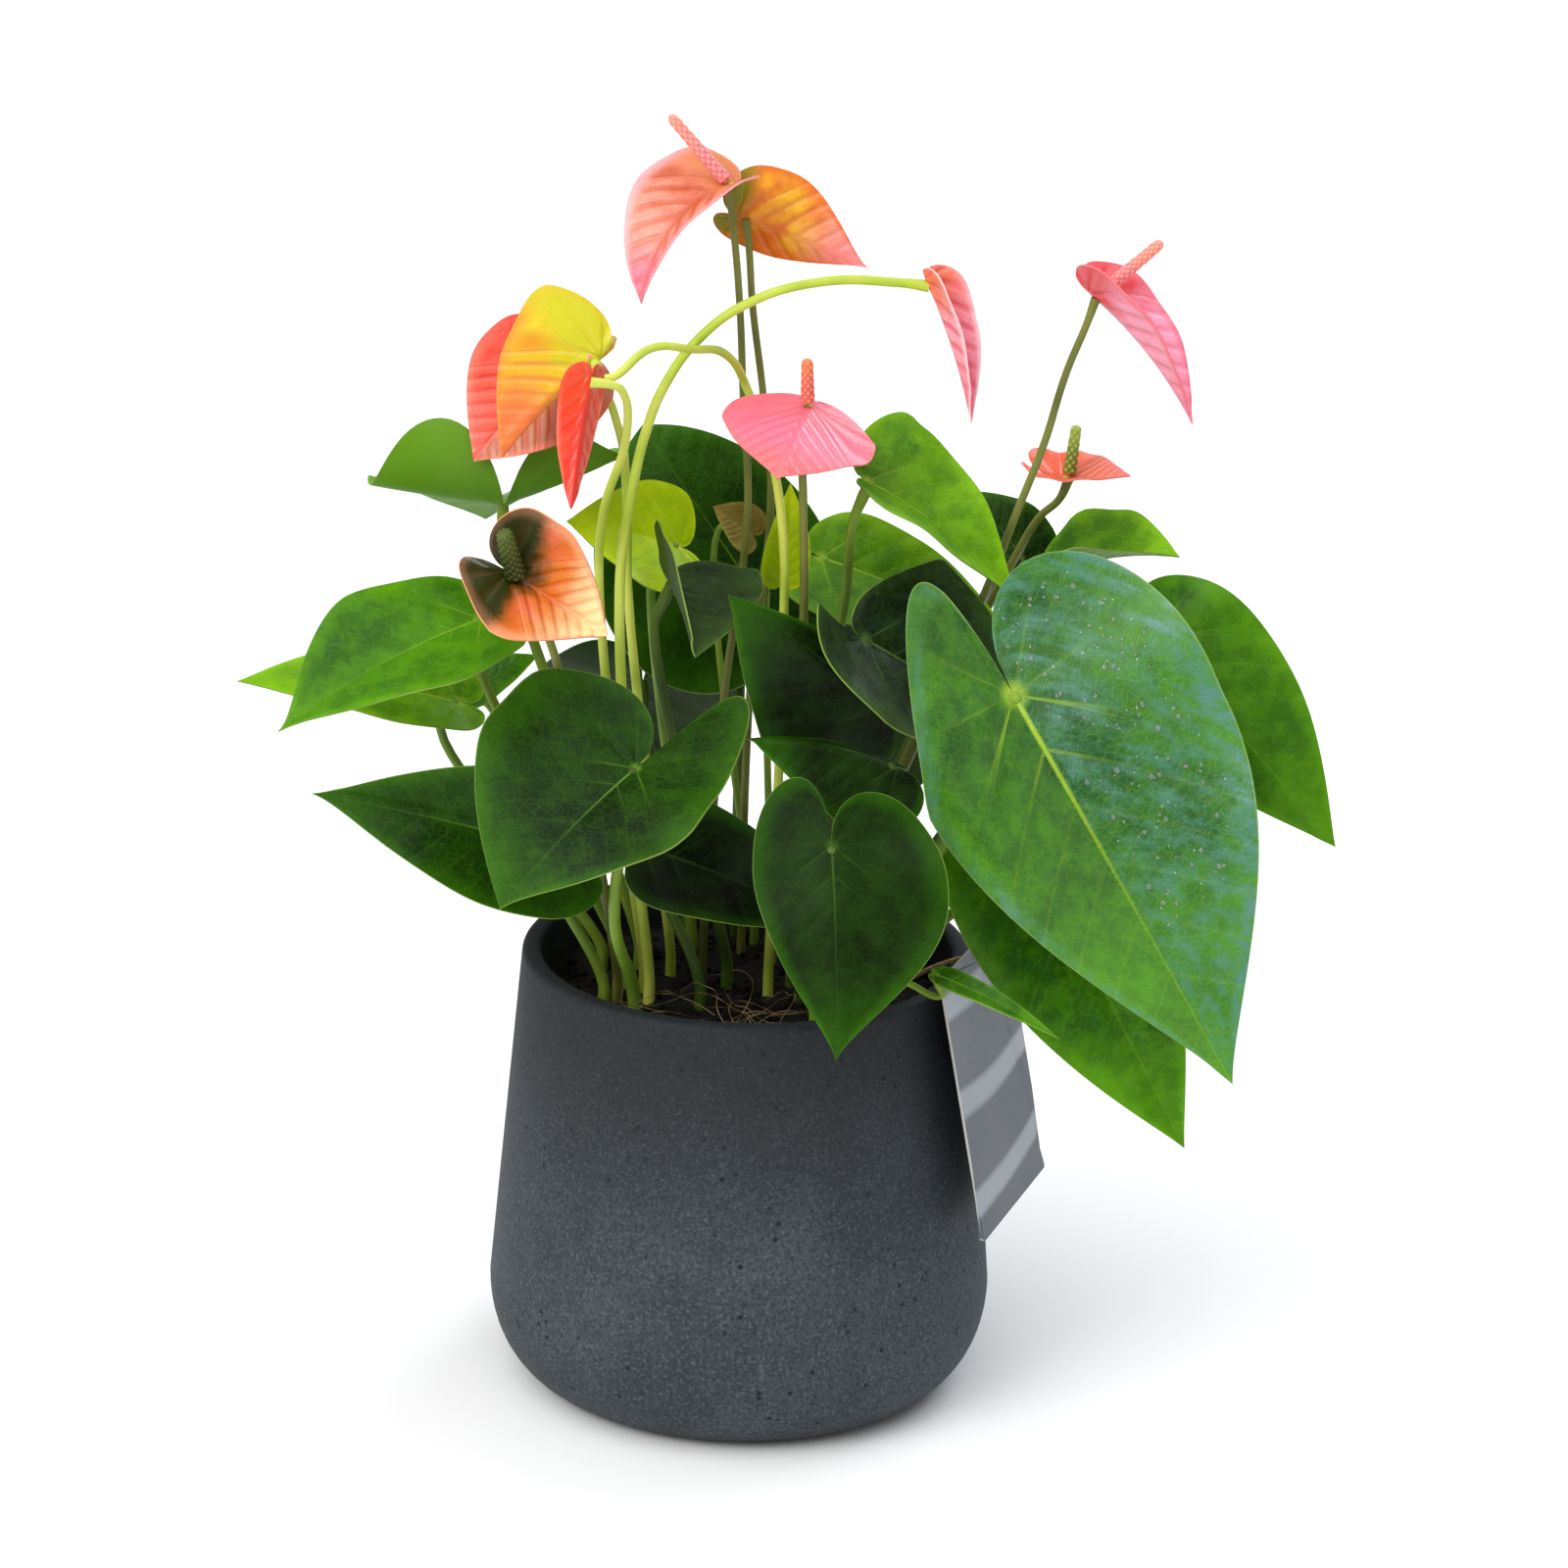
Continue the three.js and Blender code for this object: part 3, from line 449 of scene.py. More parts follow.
def blade(name, shape, finishes, slot, cad_node, knob, steps, rows, thickness=0.45, relief=0.1):
    """The blade's mesh: a grid laid out in the heart, bent, quilted between its veins, given thickness."""
    length, at, facing, outline = shape
    notch_share = 0.035
    bm = bmesh.new()
    bmesh.ops.create_grid(bm, x_segments=steps, y_segments=rows, size=1)
    flat = bm.verts.layers.float_vector.new("flat")
    for vert in bm.verts:
        share, edge = notch_share + (1 - notch_share) * (vert.co.x + 1) / 2, abs(vert.co.y)
        hand = 1 if vert.co.y >= 0 else -1
        x, y, rib = outline(share, hand)
        x, y = rib + (x - rib) * edge, hand * y * edge
        vert[flat] = (x / length, y / length, edge)
        reach = abs(y) / length
        wave = x / length - vein_sweep * reach - vein_curl * reach * reach
        if wave < 0:
            wave = (atan2(reach, x / length) - first_vein_angle) * lobe_veins / side_veins
        swell = abs(sin(pi * wave * side_veins)) ** 0.7 * min(1, reach / 0.05) * (1 - edge ** 8)
        swell *= 1 if x > 0 else 0.5
        groove = exp(-(abs(y) / 0.9) ** 2) * (1 if x > 0 else 0)
        vert.co = (at(x, y) + facing(x, y) * (thickness / 2 + relief * (swell - 0.5 - groove))) * MM
    bmesh.ops.remove_doubles(bm, verts=bm.verts, dist=0.004 * MM)
    bmesh.ops.recalc_face_normals(bm, faces=bm.faces)
    middle = facing(length * 0.3, 1)
    if sum(face.normal.dot(middle) * face.calc_area() for face in bm.faces) < 0:
        bmesh.ops.reverse_faces(bm, faces=bm.faces)
    upper_skin = set(bm.verts)
    bmesh.ops.solidify(bm, geom=bm.faces[:], thickness=thickness * MM)
    for face in bm.faces:
        new = [vert not in upper_skin for vert in face.verts]
        face.material_index = 1 if all(new) else 2 if any(new) else 0
        face.smooth = True
    for edge in bm.edges:
        kinds = {face.material_index for face in edge.link_faces}
        edge.smooth = len(kinds) < 2
    spot = at(1.5, 0) + facing(1.5, 0) * thickness / 2
    turn = facing(1.5, 0).to_track_quat("Z", "Y").to_matrix().to_4x4()
    made = bmesh.ops.create_icosphere(bm, subdivisions=3, radius=knob * MM, matrix=Matrix.Translation(
        spot * MM) @ turn @ Matrix.Diagonal((1, 1, 0.25, 1)))
    for face in {face for vert in made["verts"] for face in vert.link_faces}:
        face.material_index = 3
        face.smooth = True
    finish_piece(name, bm, finishes, slot, cad_node, smooth=False)


def flat_place(tree):
    """Where a point of a blade or spadix lies before it is bent, kept with the mesh."""
    return node(tree, "Attribute", {"attribute_name": "flat"}).outputs["Vector"]


vein_group = bpy.data.node_groups.new("leaf veins", "ShaderNodeTree")
vein_group.interface.new_socket("Flat", in_out="INPUT", socket_type="NodeSocketVector")
vein_group.interface.new_socket("Laterals", in_out="INPUT", socket_type="NodeSocketFloat")
for output in ("Vein", "Quilt", "Margin", "Left", "Along", "Edge", "Course"):
    vein_group.interface.new_socket(output, in_out="OUTPUT", socket_type="NodeSocketFloat")
given = vein_group.nodes.new("NodeGroupInput")
put_out = vein_group.nodes.new("NodeGroupOutput")
along, across, edge = node(vein_group, "SeparateXYZ", Vector=given.outputs["Flat"]).outputs
reach = maths("ABSOLUTE", across)
start = minus(along, times(plus(times(reach, vein_curl), vein_sweep), reach))
ribs = maths("PINGPONG", times(start, given.outputs["Laterals"]))
rays = maths("PINGPONG", times(minus(maths("ARCTAN2", reach, along), first_vein_angle), lobe_veins))
spread = node(vein_group, "Mix", i0=fade(start, -0.004, 0.004), i2=rays, i3=ribs).outputs[0]
gone = node(vein_group, "VectorMath", {"operation": "LENGTH"}, i0=node(
    vein_group, "CombineXYZ", i0=along, i1=across).outputs[0]).outputs["Value"]
lines = times(fade(spread, 0.06, 0.015), fade(start, -0.03, 0.01, 0.3, 1))
lines = times(lines, fade(gone, 0.3, 0.02, 0.07, 0.6))
lines = maths("MAXIMUM", lines, fade(gone, 0.045, 0.01, 0, 0.8))
slimmer = maths("DIVIDE", reach, fade(along, 0, 1, 1, 0.25))
midrib = times(fade(slimmer, 0.009, 0.002), fade(along, -0.02, 0))
midrib = times(midrib, fade(along, 0.6, 0, 0.25, 1))
for socket, value in (("Vein", maths("MAXIMUM", midrib, lines)),
                      ("Quilt", times(fade(spread, 0, 0.4), fade(reach, 0, 0.05))),
                      ("Margin", fade(edge, 0.986, 0.996)), ("Left", fade(across, -0.01, 0.02)),
                      ("Along", along), ("Edge", edge), ("Course", start)):
    vein_group.links.new(value, put_out.inputs[socket])


def veined(tree):
    """Places the vein group in a material; its outputs are masks and heights over the blade."""
    return node(tree, "Group", {"node_tree": vein_group}, Flat=flat_place(tree), Laterals=side_veins).outputs


def plain_green(name, first, second, rough=0.5):
    """Stalks, knobs and pale edges: a soft change between two greens, and a fine lengthwise grain."""
    made, shader, place = new_material(name, Specular_IOR_Level=0.3)
    soft = mottling(place, 30, 3)
    grain = mottling(stretched(place, (1, 1, 0.12)), 1080, 3)
    tone = mix(plus(fade(soft, 0.35, 0.65, 0, 0.75), times(grain, 0.25)), first, second)
    dress(shader, Base_Color=tone, Roughness=fade(grain, 0.3, 0.7, rough - 0.07, rough + 0.08),
          Normal=bumps(grain, 0.35, 0.0003))
    return made


leaf_rim = plain_green("leaf margin", (96, 128, 38), (134, 162, 66))
leaf_joint = plain_green("leaf joint", (96, 136, 26), (128, 162, 40))
leaf_stalk = plain_green("leaf stalk", (86, 118, 24), (136, 162, 50))
# Old stalks are darker green, and this green is also painted shade for the stalks inside the plant and at its
# back.
old_stalk_with_painted_shade = plain_green("old leaf stalk with painted shade", (44, 66, 12), (80, 106, 26))


def leaf_finish(name, deep, fresh, vein, under, rough=0.36, painted_sheen=0.0, dew_gloss_and_sheen=0.0, clouding=1.0,
                joint=leaf_joint):
    """The four materials of a blade: upper side, underside, cut edge and knob."""
    top, shader, place = new_material(name + " upper", Specular_IOR_Level=0.09 + 0.3 * dew_gloss_and_sheen,
                                      Coat_Roughness=0.2)
    shape = veined(shader.id_data)
    broad = mottling(place, 17, 3, 0.55)
    blotch = mottling(place, 130, 5, 0.65)
    specks = mottling(place, 150, 7, 0.7)
    pores = mottling(place, 1300)
    net = fade(cells(place, 420, "DISTANCE_TO_EDGE")["Distance"], 0.09, 0.02)
    mottle = times(plus(fade(broad, 0.32, 0.68, 0.05, 0.6), fade(blotch, 0.4, 0.62, -0.1, 0.2)), clouding)
    # Paler towards the tip and the edges: partly the leaf's own tone, partly painted light on the edges and
    # painted shade near the notch.
    paler = plus(fade(shape["Along"], 0.5, 0.98, 0, 0.5), fade(shape["Edge"], 0.7, 1, 0, 0.4))
    tone = mix(plus(mottle, paler, clamp=True), deep, fresh)
    tone = mix(times(net, 0.07), tone, vein)
    streaks = mottling(node(shader.id_data, "CombineXYZ", i0=times(shape["Course"], 4), i1=shape["Edge"],
                            i2=shape["Left"]).outputs[0], 5, 4, 0.6)
    # Painted sheen: in patches, and on the dew leaf over its left half and margins, the colour is lightened
    # towards blue grey as reflections would; the wet mask also sets the real coat gloss.
    patches = fade(plus(times(streaks, 0.6), times(specks, 0.4)), 0.42, 0.66)
    wet_gloss_and_sheen = times(plus(shape["Left"], fade(shape["Edge"], 0.8, 0.95)), plus(patches, 0.12))
    tone = mix(plus(times(patches, painted_sheen), times(wet_gloss_and_sheen, dew_gloss_and_sheen)), tone, (76, 130, 108))
    tone = mix(times(shape["Vein"], 0.75), tone, vein)
    tone = mix(times(shape["Margin"], 0.45), tone, (140, 170, 80))
    relief = minus(times(shape["Quilt"], 0.35), times(shape["Vein"], 0.6))
    relief = plus(minus(relief, times(net, 0.12)), times(pores, 0.08))
    relief = plus(relief, times(blotch, 0.4 + 1.4 * dew_gloss_and_sheen))
    dress(shader, Base_Color=tone, Roughness=fade(broad, 0.3, 0.7, rough - 0.05, rough + 0.1),
          Coat_Weight=fade(times(wet_gloss_and_sheen, dew_gloss_and_sheen), 0.1, 1.2, 0.03, 0.6), Normal=bumps(relief, 0.55, 0.0007))

    below, shader, place = new_material(name + " underside", Specular_IOR_Level=0.12)
    shape = veined(shader.id_data)
    broad = mottling(place, 30, 3)
    pale = tuple(c * 0.9 + 0.1 * w for c, w in zip(linear(*under), (0.3, 0.4, 0.16))) + (1,)
    tone = mix(fade(broad, 0.3, 0.7), under, pale)
    tone = mix(times(shape["Vein"], 0.6), tone, vein)
    dress(shader, Base_Color=tone, Roughness=fade(broad, 0.3, 0.7, 0.5, 0.65),
          Normal=bumps(plus(shape["Vein"], times(shape["Quilt"], -0.4)), 0.6, 0.0008))
    return [top, below, leaf_rim, joint]


foot_rises = (-8, 3, 10)


def stem_foot(foot, shares):
    """A stem's upright start, from down in its hole to just over the soil; shares are of its radius."""
    return [(foot[0], foot[1], soil_top + rise, share) for rise, share in zip(foot_rises, shares)]


def leaf(name, finish, foot, joint, tip, stalk=1.7, via=(), slot="leaf", steps=60, rows=30, green=leaf_stalk,
         **form):
    """One leaf: its blade, and its stalk from the soil to the notch, thicker where it carries the blade."""
    shape = blade_shape(joint, tip, **form)
    at, facing = shape[1:3]
    blade(name + "_blade", shape, finish, slot, "leaf_" + name, stalk * 0.62, steps, rows)
    end = at(1, 0)
    long = (end - Vector((foot[0], foot[1], soil_top))).length
    under_joint = end - facing(1, 0) * min(14, 0.25 * long)
    neck = end - facing(1, 0) * min(5, 0.1 * long)
    path = stem_foot(foot, (1.25, 1.2, 1.08)) + [tuple(spot) + (0.9,) for spot in via]
    path += [tuple(under_joint) + (0.85,), tuple(neck) + (1.15,), tuple(end) + (0.95,)]
    strands(name + "_stalk", [path], stalk, green, "stem", "leaf_" + name, steps=14)
    return shape


# The big leaf at the front right carries dew on its left half, seen from its notch to its tip.
# Painted sheen lightens its colour towards blue grey there, and the drops are flattened beads of water.
sheen = leaf_finish(
    "dewy leaf", (22, 76, 3), (72, 136, 6), (168, 200, 50), (96, 132, 56), rough=0.24, painted_sheen=0.04, dew_gloss_and_sheen=0.62)
length, at, facing, outline = leaf(
    "front_right", sheen, (38, -18), (78, -58, 246), (146, -98, 139), stalk=2.2, steps=84, rows=48,
    faces=(0.05, -0.97, 0.25), half=(55, 50), lobe=(38, 48), widest=(0.22, 0.12), full=(0.15, 0.1),
    gather=(1.2, 0.4), fold=(-6, -38), cup=0.08, arch=18, lift=5)
water, shader, place = new_material("dew", Roughness=0.03, IOR=1.33, Transmission_Weight=0.9)
dress(shader, Base_Color=mix(mottling(place, 500), (0.93, 0.97, 0.96, 1), (1, 1, 1, 1)))
drop_count = 150
left_breadth = outline(0.45, 1)[1]
bm = bmesh.new()
for _ in range(drop_count):
    x, y = length * chance.uniform(-0.2, 0.62), chance.uniform(5, 44)
    if (x / length - 0.2) ** 2 / 0.3 + (y / left_breadth) ** 2 > 0.85:
        continue
    size = 0.3 + 0.75 * chance.random() ** 3
    turn = facing(x, y).to_track_quat("Z", "Y").to_matrix().to_4x4()
    bmesh.ops.create_icosphere(bm, subdivisions=2, radius=size * MM, matrix=Matrix.Translation(
        (at(x, y) + facing(x, y) * 0.4) * MM) @ turn @ Matrix.Diagonal((1, 1, 0.5, 1)))
finish_piece("dew_drops", bm, [water], "leaf")

# Leaves at the right and the front, from the low one under the big leaf round to the front left.
# Each has its own stalk from the soil; the old ones are dark, and the front ones darkest, with painted shade
# in their colour.
fresh = leaf_finish(
    "fresh leaf", (52, 106, 3), (120, 176, 8), (156, 192, 56), (90, 138, 18), rough=0.33, painted_sheen=0.02)
middle = leaf_finish(
    "mid-green leaf", (32, 80, 3), (84, 144, 4), (126, 168, 46), (62, 96, 22), rough=0.33, painted_sheen=0.04)
# Old leaves are darker green; their dark underside is also painted shade, for undersides seen in the shade
# behind the plant.
old = leaf_finish(
    "old leaf", (8, 34, 2), (48, 96, 5), (104, 148, 44), (32, 54, 12), rough=0.33, clouding=0.75,
    joint=old_stalk_with_painted_shade)
# Painted shade: this finish darkens the front and inner leaves that lie in the shade of the big ones, darkest
# towards the notch and with little mottling.
shaded = leaf_finish(
    "dark leaf in painted shade", (5, 8, 2), (50, 102, 4), (60, 92, 26), (18, 30, 8), clouding=0.34, joint=old_stalk_with_painted_shade)
slate = leaf_finish(
    "blue-green leaf", (18, 34, 8), (54, 80, 24), (90, 124, 54), (38, 62, 16), painted_sheen=0.1, joint=old_stalk_with_painted_shade)
leaf("low_right", middle, (34, -34), (85, -18, 190), (136, -60, 102), faces=(-0.1, -0.95, 0.3), half=32,
     lobe=18)
leaf("right", middle, (42, 0), (122, 0, 247), (181, -20, 187), green=old_stalk_with_painted_shade, faces=(0.1, -0.9, 0.4),
     half=(28, 24), lobe=(15, 20), fold=(5, -35))
leaf("right_flat", fresh, (40, 20), (95, 30, 259), (131, 14, 269), steps=40, rows=24, green=old_stalk_with_painted_shade,
     faces=(0, 0, 1), half=25, lobe=9, fold=(26, 18))
leaf("front", shaded, (22, -52), (25, -70, 201), (28, -98, 143), stalk=2, faces=(0.15, -0.9, 0.3),
     half=(36, 24), lobe=(19, 23), widest=(0.25, 0.1), full=0.05, fold=-8)
leaf("front_low", shaded, (-14, -24), (-32, -28, 184), (27, -38, 163), steps=40, rows=24, green=old_stalk_with_painted_shade,
     faces=(0, -0.7, 0.7), half=20, lobe=4)
leaf("front_left", old, (-34, -36), (-34, -62, 221), (-72, -102, 190), stalk=2, via=((-40, -50, 168),),
     faces=(-0.2, -0.75, 0.6), half=(32, 43), lobe=(44, 22), full=(0.05, 0.25), gather=(0.6, 1.1))

# Leaves at the left, long stalked and spread wide over the pot's side. The two wings of the tall one
# stand up from its notch like a butterfly's.
leaf("low_left", old, (-44, -24), (-57, -40, 186), (-132, -52, 207), faces=(-0.1, -0.8, 0.6), half=24,
     lobe=(17, 20), full=0.05, fold=(4, 46))
leaf("left", middle, (-38, -6), (-83, -22, 254), (-141, -60, 229), faces=(-0.2, -0.5, 0.83), half=(28, 26),
     lobe=(9, 10), widest=(0.2, 0.4), full=0.05)
leaf("left_behind", fresh, (-46, 8), (-91, 6, 218), (-159, -6, 227), steps=44, rows=24, faces=(0, -0.5, 0.85),
     half=17, lobe=9)
leaf("left_small", middle, (-42, 22), (-90, 27, 214), (-68, 32, 226), stalk=1.2, steps=28, rows=16,
     faces=(0, -0.6, 0.8), half=8, lobe=4)
leaf("butterfly", fresh, (-34, 12), (-78, 4, 283), (-88, 78, 257), stalk=1.8, faces=(0, 0.3, 0.95),
     half=(40, 42), lobe=(33, 26), gather=(1.3, 1), fold=(4, 20), lift=70)

# Leaves of the crown and the middle, some half rolled, and the ones behind, which face away.
# Their stalks rise between the flower stems.
leaf("crown", fresh, (18, 4), (33, -5, 296), (80, -20, 263), via=((24, 12, 225), (28, 13, 255)),
     faces=(0, 0, 1), half=(23, 26), lobe=(11, 3), widest=(0.08, 0.3), full=0.05, gather=(1.4, 0.8),
     fold=(44, 10))
leaf("winged", slate, (17, -19), (34, -20, 250), (86, 8, 204), via=((20, -13, 190), (25, -11, 222)),
     green=old_stalk_with_painted_shade, faces=(-0.2, -0.6, 0.7), half=(35, 26), lobe=(12, 32), gather=(0.3, 0.6), lift=30)
leaf("centre_curled", slate, (-6, -4), (-26, -5, 262), (-17, -42, 250), steps=50, rows=28, green=old_stalk_with_painted_shade,
     faces=(0.2, -0.5, 0.8), half=(27, 20), lobe=(12, 16), fold=(8, 72))
leaf("back_small", old, (26, 36), (84, 52, 256), (66, 62, 275), steps=36, rows=20, green=old_stalk_with_painted_shade,
     faces=(0, -0.6, 0.8), half=14, lobe=8)
leaf("back_bright", fresh, (10, 32), (20, 40, 258), (82, 26, 236), faces=(0, -0.7, 0.7), half=(18, 22),
     lobe=(8, 14))
leaf("back_tall", old, (-4, 44), (-1, 60, 241), (-38, 75, 290), green=old_stalk_with_painted_shade, faces=(0.1, -0.95, 0.2),
     half=(46, 30), lobe=26, full=0.5)
# The two inner leaves take the dark finish: painted shade in their colour.
leaf("inner_right", shaded, (24, -6), (40, -18, 227), (-8, -35, 268), steps=56, rows=28, green=old_stalk_with_painted_shade,
     faces=(0, -0.8, 0.6), half=(34, 9), lobe=(16, 6), fold=(-30, 10))
leaf("inner_edge", shaded, (22, -28), (44, -42, 217), (-1, -52, 228), steps=44, rows=24, green=old_stalk_with_painted_shade,
     faces=(0, 0.3, 0.9), half=(24, 8), lobe=(12, 6), fold=(-75, 10))
# The rear leaves show dark undersides: old leaves, darkened further as painted shade.
leaf("rear_right", old, (14, 44), (36, 68, 222), (44, 92, 150), green=old_stalk_with_painted_shade, faces=(0.1, 0.95, 0.3),
     half=37, lobe=22)
leaf("rear_left", old, (-20, 42), (-36, 64, 208), (-40, 100, 142), green=old_stalk_with_painted_shade, faces=(-0.1, 0.9, 0.4),
     half=33, lobe=20)

# Young leaves are thin and bright, and a narrow green strap is one that never spread. Two are still
# small rolled buds between the stalks, olive and brownish.
young = leaf_finish("young leaf", (144, 184, 2), (194, 218, 12), (206, 222, 80), (150, 184, 30), rough=0.32)
rolled = leaf_finish(
    "rolled young leaf", (112, 104, 40), (160, 132, 62), (176, 160, 90), (140, 120, 60), rough=0.4,
    painted_sheen=0.05)
leaf("young_left", young, (-18, 24), (-24, 24, 265), (-59, 15, 275), slot="young_leaf", steps=44, rows=24,
     faces=(0, -0.7, 0.7), half=(21, 19), lobe=(9, 5))
leaf("strap", middle, (34, -46), (57, -62, 158), (95, -80, 145), stalk=1.2, via=((44, -48, 150),),
     slot="young_leaf", steps=36, rows=12, faces=(0, -0.6, 0.8), half=4, lobe=1.5)
leaf("bud_brown", rolled, (2, 35), (-2, 34, 267), (-14, 29, 277), stalk=1.2, slot="young_leaf", steps=28,
     rows=14, faces=(0, -0.8, 0.6), half=8, lobe=4)
leaf("bud_olive", young, (8, 14), (8, 6, 260), (10, 8, 291), stalk=1.2, slot="young_leaf", steps=36, rows=14,
     faces=(0.3, -0.9, 0.3), half=8, lobe=3)

# Flowers: a slim stem carries a waxy heart-shaped spathe, and the spadix stands in its notch,
# a finger packed with tiny flowers. Colour runs along each spathe from its notch to its tip, clouded
# and crossed by soft side veins, and its hem is paler or redder.
stem_young = plain_green("young flower stem", (160, 188, 40), (216, 224, 100), rough=0.42)
stem_old = plain_green("flower stem", (84, 94, 32), (132, 136, 62))


def spathe_finish(slot, name, notch, belly, point, hem, vein, back, veining=0.55, left=None, turn=0.5,
                  patch=None, start=0.05):
    """A spathe's slot and four materials: its upper side, back, cut edge and the knob at its notch."""
    finishes = []
    for side, second in (("upper", belly), ("back", back)):
        made, shader, place = new_material(name + " " + side, Specular_IOR_Level=0.5)
        shape = veined(shader.id_data)
        cloud = mottling(place, 55, 4, 0.6)
        pores = mottling(place, 1500)
        drift = plus(shape["Along"], minus(times(cloud, 0.7), 0.35))
        if patch:
            second = mix(fade(cloud, 0.46, 0.74), second, patch)
        tone = mix(fade(drift, start, start + 0.3), notch, second)
        tone = mix(fade(drift, turn, turn + 0.45), tone, point)
        if left:
            tone = mix(fade(plus(shape["Left"], cloud), 0.6, 1.3), tone, left)
        lines = times(fade(shape["Quilt"], 0.75, 0), fade(shape["Edge"], 0.95, 0.7))
        net = fade(cells(place, 330, "DISTANCE_TO_EDGE")["Distance"], 0.12, 0.02)
        marks = maths("MAXIMUM", times(lines, fade(shape["Along"], 0.95, 0.3, 0.25, 1)), times(net, 0.18))
        tone = mix(times(marks, fade(drift, start, start + 0.3, veining * 0.05, veining)), tone, vein)
        tone = mix(times(fade(shape["Edge"], 0.78, 0.98), fade(drift, start, start + 0.3, 0.2, 0.8)),
                   tone, hem)
        relief = plus(minus(times(pores, 0.06), times(marks, 0.4)), times(shape["Quilt"], 0.6))
        dress(shader, Base_Color=tone, Roughness=fade(cloud, 0.3, 0.7, 0.3, 0.45),
              Normal=bumps(plus(relief, times(cloud, 0.8)), 0.6, 0.0009))
        finishes.append(made)
    cut = tuple(0.6 * a + 0.4 * b for a, b in zip(linear(*hem), linear(*belly)))
    return slot, finishes + [plain_green(name + " edge", hem, cut, rough=0.4), stem_young]


def spadix_finish(slot, name, low, high, dots):
    """A spadix's slot and material: bumps of one colour with paler crowns, changing from foot to tip."""
    made, shader, place = new_material(name, Specular_IOR_Level=0.4)
    upward, crown = node(shader.id_data, "SeparateXYZ", Vector=flat_place(shader.id_data)).outputs[:2]
    cloud = mottling(place, 120)
    tone = mix(fade(plus(upward, times(minus(cloud, 0.5), 0.5)), 0.35, 0.85), low, high)
    tone = mix(fade(crown, 0.35, 0.95, 0, 0.7), tone, dots)
    dress(shader, Base_Color=tone, Roughness=fade(crown, 0, 1, 0.65, 0.42),
          Normal=bumps(mottling(place, 2500), 0.4, 0.0002))
    return slot, made


def spadix(name, foot, tip, radius, finish, cad_node):
    """A tapered finger with a round tip, its bumps set in crossing spirals as on the real one."""
    axis = tip - foot
    turn = axis.normalized().to_track_quat("Z", "Y").to_matrix()
    round_turns = 2 * max(4, round(radius * 2.6))
    pitch = tau * radius / round_turns * 2
    round_from, taper, bump_height = 0.9, 0.22, 0.38
    bm = bmesh.new()
    bmesh.ops.create_grid(bm, x_segments=round_turns * 4, y_segments=int(axis.length / pitch * 8) + 8, size=1)
    flat = bm.verts.layers.float_vector.new("flat")
    for vert in bm.verts:
        angle, t = pi * (vert.co.x + 1), (vert.co.y + 1) / 2
        blunt = sqrt(max(0, 1 - max(0, (t - round_from) / (1 - round_from)) ** 2)) * min(1, (t / 0.02)) ** 0.5
        first = round_turns / 2 * angle / tau + t * axis.length / pitch
        second = round_turns / 2 * angle / tau - t * axis.length / pitch
        bump = abs(cos(pi * first) * cos(pi * second)) ** 0.6
        breadth = (radius * (1 - taper * t) - 0.15 + bump_height * (bump - 0.3)) * blunt
        vert[flat] = (t, bump, 0)
        vert.co = (foot + turn @ Vector((breadth * cos(angle), breadth * sin(angle),
                                         t * axis.length))) * MM
    bmesh.ops.remove_doubles(bm, verts=bm.verts, dist=0.002 * MM)
    bmesh.ops.recalc_face_normals(bm, faces=bm.faces)
    slot, material = finish
    finish_piece(name, bm, [material], slot, cad_node)


def flower(name, finish, finger_finish, foot, joint, tip, via, finger, breadth, stem=1.5, arrive=None,
           green=stem_old, **form):
    """One flower: spathe, stem and spadix, on the same joint and lines as the solid ones."""
    shape = blade_shape(joint, tip, **form)
    at, facing = shape[1:3]
    solid = "flower_" + name
    slot, materials = finish
    blade(name + "_spathe", shape, materials, slot, solid + "_spathe", stem * 0.75, steps=56, rows=32,
          thickness=0.55, relief=0.12)
    middle, up_here = at(2.5, 0), facing(2.5, 0)
    way = Vector(arrive).normalized() if arrive else up_here
    path = stem_foot(foot, (1.15, 1.12, 1.05))
    path += [tuple(spot) + (0.93 - 0.1 * k / len(via),) for k, spot in enumerate(via)]
    path += [tuple(middle - way * 8) + (0.85,), tuple(middle - way * 0.2) + (1.1,)]
    strands(name + "_stem", [path], stem, green, "stem", solid + "_stem", steps=14)
    out = (Vector(finger) - middle).normalized()
    spadix(name + "_spadix", middle + up_here * 0.8 + out * 0.6, Vector(finger), breadth, finger_finish,
           solid + "_spadix")


rose = spadix_finish("spadix_pink", "pink spadix", (232, 124, 130), (238, 136, 112), (250, 184, 172))
coral = spadix_finish("spadix_pink", "red spadix", (222, 92, 84), (232, 116, 70), (246, 160, 120))
olive = spadix_finish("spadix_green", "green spadix", (96, 124, 36), (150, 170, 62), (186, 196, 96))
dark_olive = spadix_finish("spadix_green", "dark green spadix", (34, 48, 8), (66, 84, 18), (92, 108, 34))

